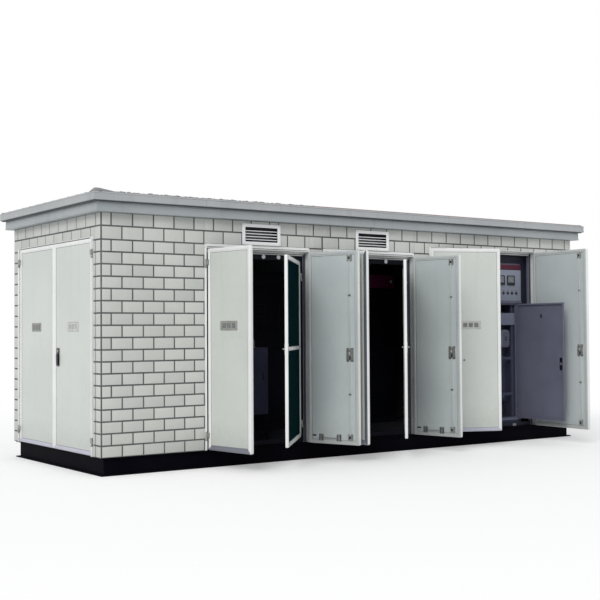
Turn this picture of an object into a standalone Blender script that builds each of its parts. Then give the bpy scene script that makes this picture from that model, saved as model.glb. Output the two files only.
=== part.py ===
# Compact substation: a brick-faced kiosk on a steel base, with its doors open.
# Metres, +Z up. The origin is on the ground under the middle of the building.
# The long front faces -Y and the end with the closed double door faces -X.
import math

import bmesh
import bpy
from mathutils import Matrix, Vector

for leftover in list(bpy.data.objects):
    bpy.data.objects.remove(leftover, do_unlink=True)

# Driving sizes of the building
length = 6.75
depth = 2.29
base_height = 0.18
wall_thickness = 0.12
seat_gap = 0.0003
cutter_reach = 0.05
same_place = 0.0001

# Steel base: a beam ring with flanges that reach out nearly to the wall face
foot_setback = 0.02
web_setback = 0.057
beam_inner = 0.20
flange_thickness = 0.012
floor_thickness = 0.06
cross_beam_width = 0.10

# Roof
lower_band_overhang = 0.075
lower_band_drop = 0.005
lower_band_height = 0.095
upper_band_overhang = 0.125
upper_band_height = 0.115
upper_band_inner = 0.06
ceiling_thickness = 0.05
roof_setback = 0.02
roof_rise = 0.11
roof_sheet = 0.008
roof_edge_width = 0.032

# Doorways along the front, measured from the left corner of the building
door_width = 1.34
wide_door_width = 1.82
doorway_1_start = 1.17
doorway_2_start = 2.69
doorway_3_start = 4.26
door_height = 2.135
lintel_height = 0.265
wide_lintel_height = 0.18
end_door_margin = 0.168
end_lintel_height = 0.23

# Fixed door frames
liner_thickness = 0.008
stop_width = 0.045
stop_front = 0.078
head_bar = 0.04

# Hinged leaves
leaf_thickness = 0.045
leaf_profile = 0.055
leaf_panel_recess = 0.006
leaf_round = 0.010
leaf_side_gap = 0.006
leaf_top_gap = 0.007
leaf_bottom_gap = 0.005
leaf_meeting_gap = 0.008
axis_standoff = 0.014
knuckle_radius = 0.008
knuckle_length = 0.055
knuckle_gap = 0.001
pin_radius = 0.004
pin_clearance = 0.0006
hinge_inset = 0.13
tab_thickness = 0.0095
leaf_tab_overlap = 0.003
tab_reach = 0.034
tab_end_inset = 0.001
pin_end_inset = 0.002
weld_bite = 0.0005

# Angles at which the leaves stand open, from shut
open_leaf_1_left = 80.5
open_leaf_1_right = 109.5
open_leaf_2_left = 85.5
open_leaf_2_right = 103.0
open_leaf_3_left = 22.0
open_leaf_3_right = 88.0
open_inner_1 = 48.6
open_inner_2 = 50.0
open_cabinet_door = 89.0

# Lock sets: a handle outside, a lock box, rod and brackets inside
lock_from_edge = 0.11
lock_height = 0.98
lock_box_width = 0.09
lock_box_height = 0.15
lock_box_depth = 0.024
rod_width = 0.016
rod_depth = 0.009
rod_standoff = 0.003
rod_bracket_width = 0.07
rod_bracket_height = 0.075
rod_bracket_depth = 0.016
rod_bracket_gap = 0.005
rod_end_inset = 0.01
spindle_radius = 0.008
spindle_clearance = 0.0006
handle_width = 0.06
handle_height = 0.19
handle_depth = 0.024
spindle_cut = (-0.05, 0.15)

# Inner doors of doorways 1 and 2
inner_frame_depth = 0.035
inner_jamb = 0.018
inner_free_jamb = 0.033
inner_sill = 0.055
inner_head = 0.055
inner_leaf_thickness = 0.032
inner_profile = 0.042
inner_mid_rail = 0.045
inner_mid_rail_height = 0.98
inner_mid_rail_inset = 0.002
inner_gap = 0.006
inner_axis_inset = 0.003
inner_axis_standoff = 0.009
inner_knuckle_radius = 0.006
inner_pin_radius = 0.003
glass_thickness = 0.006
glass_lap = 0.018

# Vents over doorways 1 and 2, a little to the right of the middle of each
vent_offset = 0.03
vent_width = 0.486
vent_height = 0.19
vent_top_gap = 0.055
vent_rim = 0.042
vent_proud = 0.012
vent_rim_height = 0.032
vent_slats = 3
slat_thickness = 0.006
slat_half_depth = 0.018
slat_end_inset = 0.0294
slat_tilt = 35.0

# Low-voltage cabinet behind doorway 3
cabinet_front = 0.155
cabinet_depth = 0.55
cabinet_right_margin = 0.19
cabinet_left_margin = 0.81
cabinet_plinth = 0.07
cabinet_headroom = 0.33
cabinet_wall = 0.02
cabinet_right_flank = 0.065
cabinet_upper_part = 0.53
cabinet_sill = 0.04
cabinet_door_thickness = 0.022
cabinet_door_lap = 0.012
cabinet_door_gap = 0.005
cabinet_axis_standoff = 0.007
cabinet_axis_inset = 0.014
cabinet_side_gap = 0.006
sheet_fold = 0.003
breaker_width = 0.15
breaker_height = 0.23
breaker_depth = 0.16
breaker_round = 0.045
breaker_drop = 0.465
breaker_from_right = 0.165
plate_thickness = 0.02
plate_setback = 0.19
plate_bottom_gap = 0.19
plate_top_gap = 0.08

# What stands behind doorways 1 and 2
tall_cabinet_width = 0.80
tall_cabinet_depth = 0.58
tall_cabinet_headroom = 0.43
tall_cabinet_1_left = 2.60
tall_cabinet_2_left = 4.25
tall_cabinet_round = 0.008
box_left = 1.75
box_width = 0.52
box_front = 0.48
box_depth = 0.50
box_bottom = 0.24
box_height = 0.80
box_leg = 0.05
box_leg_inset = 0.002
box_leg_bite = 0.01
bushing_from_left = 0.36
bushing_from_front = 0.08
bushing_radius = 0.035
bushing_height = 0.105
# (share of the radius, share of the height) up the bushing's side
bushing_profile = (
    (0.0, 0.0), (1.0, 0.0), (1.0, 0.19), (0.55, 0.285), (0.9, 0.40), (0.9, 0.495),
    (0.5, 0.59), (0.85, 0.715), (0.85, 0.84), (0.4, 1.0), (0.0, 1.0))

# Places worked out from the sizes above
front_y = -depth / 2
back_y = depth / 2
left_x = -length / 2
right_x = length / 2
wall_height = door_height + lintel_height
wide_door_height = wall_height - wide_lintel_height
end_door_height = wall_height - end_lintel_height
wall_z = base_height + seat_gap
wall_top = base_height + wall_height
inside_front = front_y + wall_thickness
inside_back = back_y - wall_thickness
end_door_width = depth - 2 * end_door_margin


def make_material(name, colour, roughness, metallic=0.0):
    material = bpy.data.materials.new(name)
    material.use_nodes = True
    shader = material.node_tree.nodes["Principled BSDF"]
    shader.inputs["Base Color"].default_value = (*colour, 1.0)
    shader.inputs["Roughness"].default_value = roughness
    shader.inputs["Metallic"].default_value = metallic
    material.diffuse_color = (*colour, 1.0)
    return material


brick = make_material("brick", (0.50, 0.52, 0.50), 0.85)
band = make_material("band", (0.30, 0.34, 0.38), 0.55)
roof_metal = make_material("roof_metal", (0.28, 0.31, 0.33), 0.5, 0.3)
steel_base = make_material("steel_base", (0.012, 0.013, 0.02), 0.5)
floor_plate = make_material("floor_plate", (0.10, 0.11, 0.12), 0.7)
white_frame = make_material("white_frame", (0.78, 0.80, 0.78), 0.4)
door_panel = make_material("door_panel", (0.58, 0.63, 0.58), 0.45)
lock_metal = make_material("lock_metal", (0.30, 0.33, 0.31), 0.45, 0.6)
dark_glass = make_material("dark_glass", (0.02, 0.06, 0.05), 0.15)
cabinet_grey = make_material("cabinet_grey", (0.16, 0.16, 0.19), 0.5)
breaker_shell = make_material("breaker_shell", (0.55, 0.55, 0.55), 0.5)
ceiling_board = make_material("ceiling_board", (0.45, 0.46, 0.45), 0.8)


def finish_mesh(mesh_data, name, material, smooth=False):
    bmesh.ops.recalc_face_normals(mesh_data, faces=mesh_data.faces)
    mesh = bpy.data.meshes.new(name)
    mesh_data.to_mesh(mesh)
    mesh_data.free()
    mesh.materials.append(material)
    if smooth:
        mesh.shade_smooth()
        mesh.set_sharp_from_angle(angle=math.radians(35))
    piece = bpy.data.objects.new(name, mesh)
    bpy.context.scene.collection.objects.link(piece)
    return piece


def box_mesh(x0, x1, y0, y1, z0, z1):
    mesh_data = bmesh.new()
    size = Vector((x1 - x0, y1 - y0, z1 - z0))
    middle = Vector((x0 + x1, y0 + y1, z0 + z1)) / 2
    placing = Matrix.Translation(middle) @ Matrix.Diagonal((*size, 1.0))
    bmesh.ops.create_cube(mesh_data, size=1.0, matrix=placing)
    return mesh_data


def add_box(name, material, x_range, y_range, z_range):
    return finish_mesh(box_mesh(*x_range, *y_range, *z_range), name, material)


def cylinder_mesh(x, y, z0, z1, radius, sides=12):
    mesh_data = bmesh.new()
    placing = Matrix.Translation((x, y, (z0 + z1) / 2))
    bmesh.ops.create_cone(
        mesh_data, cap_ends=True, segments=sides, radius1=radius, radius2=radius,
        depth=z1 - z0, matrix=placing)
    return mesh_data


def tube_mesh(x, y, z0, z1, outer, inner, sides=12):
    mesh_data = bmesh.new()
    rings = []
    for radius, z in ((outer, z0), (outer, z1), (inner, z1), (inner, z0)):
        turn = [2 * math.pi * step / sides for step in range(sides)]
        rings.append([
            mesh_data.verts.new((x + radius * math.cos(a), y + radius * math.sin(a), z))
            for a in turn])
    for index, ring in enumerate(rings):
        other = rings[(index + 1) % len(rings)]
        for step in range(sides):
            after = (step + 1) % sides
            mesh_data.faces.new((ring[step], ring[after], other[after], other[step]))
    return mesh_data


def frame_mesh(x0, x1, z0, z1, section, closed):
    # A mitred frame in the XZ plane. The section holds (inward, y) points.
    mesh_data = bmesh.new()
    rows = []
    for inward, y in section:
        low = z0 + inward if closed else z0
        corners = [(x0 + inward, low), (x0 + inward, z1 - inward),
                   (x1 - inward, z1 - inward), (x1 - inward, low)]
        rows.append([mesh_data.verts.new((x, y, z)) for x, z in corners])
    spans = 4 if closed else 3
    for index, row in enumerate(rows):
        other = rows[(index + 1) % len(rows)]
        for step in range(spans):
            after = (step + 1) % 4
            mesh_data.faces.new((row[step], row[after], other[after], other[step]))
    if not closed:
        mesh_data.faces.new([row[0] for row in rows])
        mesh_data.faces.new([row[3] for row in rows])
    return mesh_data


def ring_mesh(section):
    # A mitred ring around the building. The section holds (setback from the wall face, z).
    mesh_data = bmesh.new()
    rows = []
    for setback, z in section:
        x = length / 2 - setback
        y = depth / 2 - setback
        corners = [(-x, -y), (x, -y), (x, y), (-x, y)]
        rows.append([mesh_data.verts.new((cx, cy, z)) for cx, cy in corners])
    for index, row in enumerate(rows):
        other = rows[(index + 1) % len(rows)]
        for step in range(4):
            after = (step + 1) % 4
            mesh_data.faces.new((row[step], row[after], other[after], other[step]))
    return mesh_data


def apply_modifier(piece):
    view = bpy.context.evaluated_depsgraph_get()
    mesh = bpy.data.meshes.new_from_object(piece.evaluated_get(view))
    old_mesh = piece.data
    piece.modifiers.clear()
    piece.data = mesh
    bpy.data.meshes.remove(old_mesh)


def combine(piece, mesh_data, operation):
    # Welds a closed mesh to the piece, or cuts it out of the piece.
    other = finish_mesh(mesh_data, "tool", piece.data.materials[0])
    other.parent = piece.parent
    other.matrix_world = piece.matrix_world.copy()
    modifier = piece.modifiers.new("combine", "BOOLEAN")
    modifier.operation = operation
    modifier.solver = "EXACT"
    modifier.object = other
    apply_modifier(piece)
    bpy.data.objects.remove(other, do_unlink=True)


def front_x(along):
    return left_x + along


# Base, floor and ceiling
base_section = [
    (foot_setback, 0.0), (beam_inner, 0.0), (beam_inner, base_height),
    (foot_setback, base_height), (foot_setback, base_height - flange_thickness),
    (web_setback, base_height - flange_thickness), (web_setback, flange_thickness),
    (foot_setback, flange_thickness)]
finish_mesh(ring_mesh(base_section), "base_beam", steel_base)

floor_edge = beam_inner + seat_gap
add_box("floor", floor_plate, (left_x + floor_edge, right_x - floor_edge),
        (front_y + floor_edge, back_y - floor_edge), (base_height - floor_thickness, base_height))

beam_half = cross_beam_width / 2
add_box("base_cross_beam", steel_base, (-beam_half, beam_half),
        (front_y + floor_edge, back_y - floor_edge),
        (0.0, base_height - floor_thickness - seat_gap))

ceiling_z = wall_top + seat_gap
add_box("ceiling", ceiling_board, (left_x, right_x), (front_y, back_y),
        (ceiling_z, ceiling_z + ceiling_thickness))

# Eaves bands: the lower one wraps the wall top, the upper one sits on it and reaches out further
band_z = wall_top - lower_band_drop
band_top = band_z + lower_band_height
lower_section = [
    (-lower_band_overhang, band_z), (-seat_gap, band_z), (-seat_gap, band_top),
    (-lower_band_overhang, band_top)]
finish_mesh(ring_mesh(lower_section), "eaves_band_lower", band)

upper_z = band_top + seat_gap
upper_top = upper_z + upper_band_height
upper_section = [
    (-upper_band_overhang, upper_z), (upper_band_inner, upper_z),
    (upper_band_inner, upper_top), (-upper_band_overhang, upper_top)]
finish_mesh(ring_mesh(upper_section), "eaves_band_upper", band)


def hip_corners(mesh_data, half_x, half_y, z, rise):
    eaves = [(-half_x, -half_y), (half_x, -half_y), (half_x, half_y), (-half_x, half_y)]
    points = [mesh_data.verts.new((x, y, z)) for x, y in eaves]
    ridge = half_x - half_y
    points.append(mesh_data.verts.new((-ridge, 0, z + rise)))
    points.append(mesh_data.verts.new((ridge, 0, z + rise)))
    return points


def build_roof():
    # A hipped sheet with its own thickness, open below, standing on the upper band
    mesh_data = bmesh.new()
    half_x = length / 2 + upper_band_overhang - roof_setback
    half_y = depth / 2 + upper_band_overhang - roof_setback
    eave_z = upper_top + seat_gap
    outer = hip_corners(mesh_data, half_x, half_y, eave_z + roof_sheet, roof_rise)
    inner = hip_corners(mesh_data, half_x - roof_edge_width, half_y - roof_edge_width,
                        eave_z, roof_rise)
    rim = hip_corners(mesh_data, half_x, half_y, eave_z, 0.0)
    for point in rim[4:]:
        mesh_data.verts.remove(point)
    slopes = ((0, 1, 5, 4), (1, 2, 5), (2, 3, 4, 5), (3, 0, 4))
    for slope in slopes:
        mesh_data.faces.new([outer[index] for index in slope])
        mesh_data.faces.new([inner[index] for index in reversed(slope)])
    for step in range(4):
        after = (step + 1) % 4
        mesh_data.faces.new((rim[step], rim[after], outer[after], outer[step]))
        mesh_data.faces.new((inner[step], inner[after], rim[after], rim[step]))
    return finish_mesh(mesh_data, "roof_sheet", roof_metal)


build_roof()

# Walls. The front and back run the full length, the ends fit between them.
doorway_1_end = doorway_1_start + door_width
doorway_2_end = doorway_2_start + door_width
doorway_3_end = doorway_3_start + wide_door_width
front_wall_y = (front_y, inside_front)
wall_range = (wall_z, wall_top)
front_piers = (
    ("front_pier_left", 0.0, doorway_1_start),
    ("front_pier_1_2", doorway_1_end, doorway_2_start),
    ("front_pier_2_3", doorway_2_end, doorway_3_start),
    ("front_pier_right", doorway_3_end, length))
for pier_name, start, end in front_piers:
    add_box(pier_name, brick, (front_x(start), front_x(end)), front_wall_y, wall_range)

add_box("back_wall", brick, (left_x, right_x), (inside_back, back_y), wall_range)
add_box("right_wall", brick, (right_x - wall_thickness, right_x),
        (inside_front + seat_gap, inside_back - seat_gap), wall_range)

end_wall_x = (left_x, left_x + wall_thickness)
end_door_front = front_y + end_door_margin
end_door_back = back_y - end_door_margin
add_box("end_pier_front", brick, end_wall_x, (inside_front + seat_gap, end_door_front), wall_range)
add_box("end_pier_back", brick, end_wall_x, (end_door_back, inside_back - seat_gap), wall_range)
end_lintel_z = base_height + end_door_height
add_box("end_lintel", brick, end_wall_x, (end_door_front + seat_gap, end_door_back - seat_gap),
        (end_lintel_z, wall_top))

vent_z = wall_top - vent_top_gap - vent_height


def add_lintel(name, start, width, height, vented):
    lintel = add_box(
        name, brick, (front_x(start) + seat_gap, front_x(start + width) - seat_gap),
        front_wall_y, (base_height + height, wall_top))
    if not vented:
        return
    middle = front_x(start + width / 2) + vent_offset
    half = vent_width / 2 - vent_rim / 2
    combine(lintel, box_mesh(middle - half, middle + half,
                             front_y - cutter_reach, inside_front + cutter_reach,
                             vent_z + vent_rim_height / 2,
                             vent_z + vent_height - vent_rim_height / 2), "DIFFERENCE")


add_lintel("lintel_1", doorway_1_start, door_width, door_height, True)
add_lintel("lintel_2", doorway_2_start, door_width, door_height, True)
add_lintel("lintel_3", doorway_3_start, wide_door_width, wide_door_height, False)


def add_vent(name, start):
    # A rim that laps the wall face, a sleeve in the hole and slats joined to the sleeve
    middle = front_x(start + door_width / 2) + vent_offset
    x0 = middle - vent_width / 2
    x1 = middle + vent_width / 2
    hole = vent_rim / 2 + seat_gap
    hole_z = vent_rim_height / 2 + seat_gap
    face = front_y - seat_gap
    vent = finish_mesh(frame_mesh(
        x0, x1, vent_z, vent_z + vent_height,
        [(0, face - vent_proud), (vent_rim_height, face - vent_proud),
         (vent_rim_height, face), (0, face)], True), name, white_frame)
    sleeve_x = (x0 + hole, x1 - hole)
    sleeve_z = (vent_z + hole_z, vent_z + vent_height - hole_z)
    combine(vent, frame_mesh(
        *sleeve_x, *sleeve_z,
        [(0, face - vent_proud / 2), (vent_rim / 2, face - vent_proud / 2),
         (vent_rim / 2, inside_front), (0, inside_front)], True), "UNION")
    clear = vent_height - 2 * vent_rim_height
    for slat in range(vent_slats):
        z = vent_z + vent_rim_height + clear * (slat + 0.5) / vent_slats
        blade = box_mesh(x0 + slat_end_inset, x1 - slat_end_inset, -slat_half_depth,
                         slat_half_depth, -slat_thickness / 2, slat_thickness / 2)
        tilt = Matrix.Rotation(math.radians(slat_tilt), 4, "X")
        lift = Matrix.Translation((0, front_y + slat_half_depth, z))
        bmesh.ops.transform(blade, matrix=lift @ tilt, verts=blade.verts)
        combine(vent, blade, "UNION")


add_vent("vent_1", doorway_1_start)
add_vent("vent_2", doorway_2_start)


def mirrored(x0, x1, hand):
    # A range of x on the leaf's own side of its axis
    return (x0, x1) if hand > 0 else (-x1, -x0)


def add_empty(name, location, turn):
    holder = bpy.data.objects.new(name, None)
    bpy.context.scene.collection.objects.link(holder)
    holder.location = location
    holder.rotation_euler = (0, 0, turn)
    bpy.context.view_layer.update()
    return holder


def place(piece, holder):
    piece.parent = holder
    bpy.context.view_layer.update()


def hinge_heights(height):
    return (hinge_inset, height - hinge_inset - knuckle_length)


def add_door_frame(name, holder, width, height, bar):
    # Local frame: x runs along the wall from the left jamb, y runs into the wall.
    # The bar fills the top of the wall opening over the mitred frame.
    section = [
        (seat_gap, 0.0), (liner_thickness, 0.0), (liner_thickness, stop_front),
        (stop_width, stop_front), (stop_width, wall_thickness), (seat_gap, wall_thickness)]
    head = height - bar
    frame = finish_mesh(frame_mesh(0, width, 0, head, section, False), name, white_frame)
    place(frame, holder)
    if bar > 0:
        combine(frame, box_mesh(seat_gap, width - seat_gap, 0, wall_thickness,
                                head - liner_thickness / 2, height), "UNION")
    axis_y = -axis_standoff
    for hand, axis_x in ((1, liner_thickness), (-1, width - liner_thickness)):
        for z in hinge_heights(head):
            low = z - knuckle_gap - knuckle_length / 2
            tab_x = mirrored(-liner_thickness + seat_gap, -tab_end_inset, hand)
            knuckle = cylinder_mesh(axis_x, axis_y, low, z - knuckle_gap, knuckle_radius)
            pin = cylinder_mesh(axis_x, axis_y, low + pin_end_inset, z + knuckle_length,
                                pin_radius)
            tab = box_mesh(axis_x + tab_x[0], axis_x + tab_x[1],
                           weld_bite - tab_thickness, weld_bite, low + tab_end_inset,
                           z - knuckle_gap - tab_end_inset)
            for mesh_data in (tab, knuckle, pin):
                combine(frame, mesh_data, "UNION")
    return frame


def leaf_mesh(width, height, hand):
    # A slab with rounded long edges and a sunk panel on both faces
    x_range = mirrored(leaf_side_gap, leaf_side_gap + width, hand)
    y_range = (axis_standoff, axis_standoff + leaf_thickness)
    mesh_data = box_mesh(*x_range, *y_range, leaf_bottom_gap, leaf_bottom_gap + height)
    rim = [edge for edge in mesh_data.edges
           if abs(edge.verts[0].co.y - edge.verts[1].co.y) < same_place]
    bmesh.ops.bevel(mesh_data, geom=rim, offset=leaf_round, segments=2, profile=0.5,
                    affect="EDGES")
    for side in (-1, 1):
        face = max(mesh_data.faces, key=lambda f: side * f.normal.y * f.calc_area())
        bmesh.ops.inset_individual(mesh_data, faces=[face],
                                   thickness=leaf_profile - leaf_round,
                                   depth=0.0)
        sunk = bmesh.ops.extrude_discrete_faces(mesh_data, faces=[face])["faces"][0]
        for vert in sunk.verts:
            vert.co.y -= side * leaf_panel_recess
    return mesh_data


def add_leaf(name, holder, width, height, hand, full_height):
    # Local frame: the joint axis at x = 0, y = 0, the shut leaf behind the wall face
    leaf = finish_mesh(leaf_mesh(width, height, hand), name, door_panel)
    place(leaf, holder)
    for z in hinge_heights(full_height):
        tube = tube_mesh(0, 0, z, z + knuckle_length, knuckle_radius,
                         pin_radius + pin_clearance)
        tab_x = mirrored(pin_radius + 2 * pin_clearance + tab_end_inset, tab_reach, hand)
        tab = box_mesh(*tab_x, -leaf_tab_overlap, axis_standoff + weld_bite,
                       z + tab_end_inset, z + knuckle_length - tab_end_inset)
        combine(leaf, tab, "UNION")
        combine(leaf, tube, "UNION")
    return leaf


def add_lock_set(name, holder, leaf, width, height, hand):
    # Handle outside, spindle through the leaf, lock box with a rod and two brackets inside
    centre = hand * (leaf_side_gap + width - lock_from_edge)
    inner_face = axis_standoff + leaf_thickness - leaf_panel_recess + seat_gap
    outer_face = axis_standoff + leaf_panel_recess - seat_gap
    combine(leaf, turned_cylinder(centre, *spindle_cut, lock_height,
                                  spindle_radius + spindle_clearance), "DIFFERENCE")
    half = lock_box_width / 2
    lock = add_box(name, lock_metal, (centre - half, centre + half),
                   (inner_face, inner_face + lock_box_depth),
                   (lock_height - lock_box_height / 2, lock_height + lock_box_height / 2))
    place(lock, holder)
    bottom = leaf_bottom_gap + leaf_profile + rod_bracket_gap
    top = leaf_bottom_gap + height - leaf_profile - rod_bracket_gap
    rod_half = rod_width / 2
    rod_y = inner_face + rod_standoff
    combine(lock, box_mesh(centre - rod_half, centre + rod_half, rod_y, rod_y + rod_depth,
                           bottom + rod_end_inset, top - rod_end_inset), "UNION")
    half = rod_bracket_width / 2
    for low in (bottom, top - rod_bracket_height):
        combine(lock, box_mesh(centre - half, centre + half, inner_face,
                               inner_face + rod_bracket_depth, low,
                               low + rod_bracket_height), "UNION")
    combine(lock, turned_cylinder(centre, outer_face - handle_depth / 2,
                                  inner_face + lock_box_depth / 2, lock_height,
                                  spindle_radius), "UNION")
    half = handle_width / 2
    combine(lock, box_mesh(centre - half, centre + half, outer_face - handle_depth, outer_face,
                           lock_height - handle_height / 2,
                           lock_height + handle_height / 2), "UNION")
    return lock


def turned_cylinder(x, y0, y1, z, radius, sides=12):
    mesh_data = cylinder_mesh(0, 0, -0.5, 0.5, radius, sides)
    lay = Matrix.Rotation(math.radians(90), 4, "X")
    stretch = Matrix.Diagonal((1, y1 - y0, 1, 1))
    placing = Matrix.Translation((x, (y0 + y1) / 2, z)) @ stretch @ lay
    bmesh.ops.transform(mesh_data, matrix=placing, verts=mesh_data.verts)
    return mesh_data


def add_doorway(label, origin, wall_turn, width, height, bar, left_open, right_open):
    # One frame and two leaves. The origin is the foot of the left jamb on the wall face.
    holder = add_empty(f"{label}_place", origin, wall_turn)
    add_door_frame(f"{label}_frame", holder, width, height, bar)
    head = height - bar
    clear = width - 2 * liner_thickness
    leaf_width = (clear - 2 * leaf_side_gap - leaf_meeting_gap) / 2
    leaf_height = head - liner_thickness - leaf_top_gap - leaf_bottom_gap
    turned = Matrix.Rotation(wall_turn, 4, "Z")
    for side, hand, axis_x, angle in (
            ("left", 1, liner_thickness, left_open),
            ("right", -1, width - liner_thickness, right_open)):
        axis_place = Vector(origin) + turned @ Vector((axis_x, -axis_standoff, 0))
        hinge = add_empty(f"{label}_{side}_hinge", axis_place,
                          wall_turn - hand * math.radians(angle))
        leaf = add_leaf(f"{label}_{side}_leaf", hinge, leaf_width, leaf_height, hand, head)
        if hand < 0:
            add_lock_set(f"{label}_lock_set", hinge, leaf, leaf_width, leaf_height, hand)


add_doorway("doorway_1", (front_x(doorway_1_start), front_y, wall_z), 0.0,
            door_width, door_height - 2 * seat_gap, head_bar, open_leaf_1_left,
            open_leaf_1_right)
add_doorway("doorway_2", (front_x(doorway_2_start), front_y, wall_z), 0.0,
            door_width, door_height - 2 * seat_gap, head_bar, open_leaf_2_left,
            open_leaf_2_right)
add_doorway("doorway_3", (front_x(doorway_3_start), front_y, wall_z), 0.0,
            wide_door_width, wide_door_height - 2 * seat_gap, 0.0, open_leaf_3_left,
            open_leaf_3_right)
add_doorway("end_doorway", (left_x, end_door_back, wall_z), math.radians(-90),
            end_door_width, end_door_height - 2 * seat_gap, 0.0, 0.0, 0.0)


def add_small_hinge(fixed, leaf, axis_x, axis_y, z, face, tab_span, seat):
    # A fixed knuckle with a pin on a tab back to its seat, and a tube on the leaf's front face
    low_end = z - knuckle_gap - knuckle_length / 2
    knuckle = cylinder_mesh(axis_x, axis_y, low_end, z - knuckle_gap, inner_knuckle_radius)
    pin = cylinder_mesh(axis_x, axis_y, low_end + pin_end_inset, z + knuckle_length,
                        inner_pin_radius)
    arm = box_mesh(axis_x + tab_span[0], axis_x + tab_span[1], axis_y + pin_end_inset,
                   axis_y + seat + weld_bite, low_end + tab_end_inset,
                   z - knuckle_gap - tab_end_inset)
    for part_mesh in (arm, knuckle, pin):
        combine(fixed, part_mesh, "UNION")
    tab = box_mesh(-tab_reach, -inner_pin_radius - 2 * pin_clearance, pin_end_inset,
                   face + weld_bite, z + tab_end_inset, z + knuckle_length - tab_end_inset)
    tube = tube_mesh(0, 0, z, z + knuckle_length, inner_knuckle_radius,
                     inner_pin_radius + pin_clearance)
    combine(leaf, tab, "UNION")
    combine(leaf, tube, "UNION")


def add_inner_door(label, start, angle):
    # A fixed ring between the stops, and a glazed leaf hinged on its right side
    x0 = front_x(start) + stop_width + seat_gap
    x1 = front_x(start + door_width) - stop_width - seat_gap
    z0 = wall_z
    z1 = base_height + door_height - head_bar - stop_width - 2 * seat_gap
    y0 = front_y + wall_thickness - inner_frame_depth
    y1 = inside_front
    mesh_data = bmesh.new()
    low, high = inner_sill, inner_head
    rings = []
    for y in (y0, y1):
        outer = [(x0, z0), (x1, z0), (x1, z1), (x0, z1)]
        inner = [(x0 + inner_free_jamb, z0 + low), (x1 - inner_jamb, z0 + low),
                 (x1 - inner_jamb, z1 - high), (x0 + inner_free_jamb, z1 - high)]
        rings.append([mesh_data.verts.new((x, y, z)) for x, z in outer])
        rings.append([mesh_data.verts.new((x, y, z)) for x, z in inner])
    for first, second in ((0, 1), (1, 3), (3, 2), (2, 0)):
        for step in range(4):
            after = (step + 1) % 4
            mesh_data.faces.new((rings[first][step], rings[first][after],
                                 rings[second][after], rings[second][step]))
    frame = finish_mesh(mesh_data, f"{label}_inner_frame", white_frame)
    axis_x = x1 - inner_jamb - inner_axis_inset
    axis_y = y0 - inner_axis_standoff
    door_bottom = z0 + low + inner_gap
    door_top = z1 - high - inner_gap
    heights = (door_bottom + hinge_inset, door_top - hinge_inset - knuckle_length)
    hinge = add_empty(f"{label}_inner_hinge", (axis_x, axis_y, 0), math.radians(angle))
    near = inner_axis_inset - inner_gap
    far = -(x1 - x0 - inner_jamb - inner_free_jamb - inner_gap - inner_axis_inset)
    face = inner_axis_standoff
    leaf = finish_mesh(frame_mesh(
        far, near, door_bottom, door_top,
        [(0, face), (inner_profile, face), (inner_profile, face + inner_leaf_thickness),
         (0, face + inner_leaf_thickness)], True), f"{label}_inner_leaf", white_frame)
    place(leaf, hinge)
    rail_z = wall_z + inner_mid_rail_height
    combine(leaf, box_mesh(far + inner_profile / 2, near - inner_profile / 2,
                           face + inner_mid_rail_inset,
                           face + inner_leaf_thickness - inner_mid_rail_inset,
                           rail_z, rail_z + inner_mid_rail), "UNION")
    for z in heights:
        add_small_hinge(frame, leaf, axis_x, axis_y, z, face,
                        (inner_pin_radius, inner_jamb - tab_end_inset), inner_axis_standoff)
    back = face + inner_leaf_thickness + seat_gap
    glass = add_box(f"{label}_inner_glass", dark_glass,
                    (far + inner_profile - glass_lap, near - inner_profile + glass_lap),
                    (back, back + glass_thickness),
                    (door_bottom + inner_profile - glass_lap,
                     door_top - inner_profile + glass_lap))
    place(glass, hinge)


add_inner_door("doorway_1", doorway_1_start, open_inner_1)
add_inner_door("doorway_2", doorway_2_start, open_inner_2)


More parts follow.
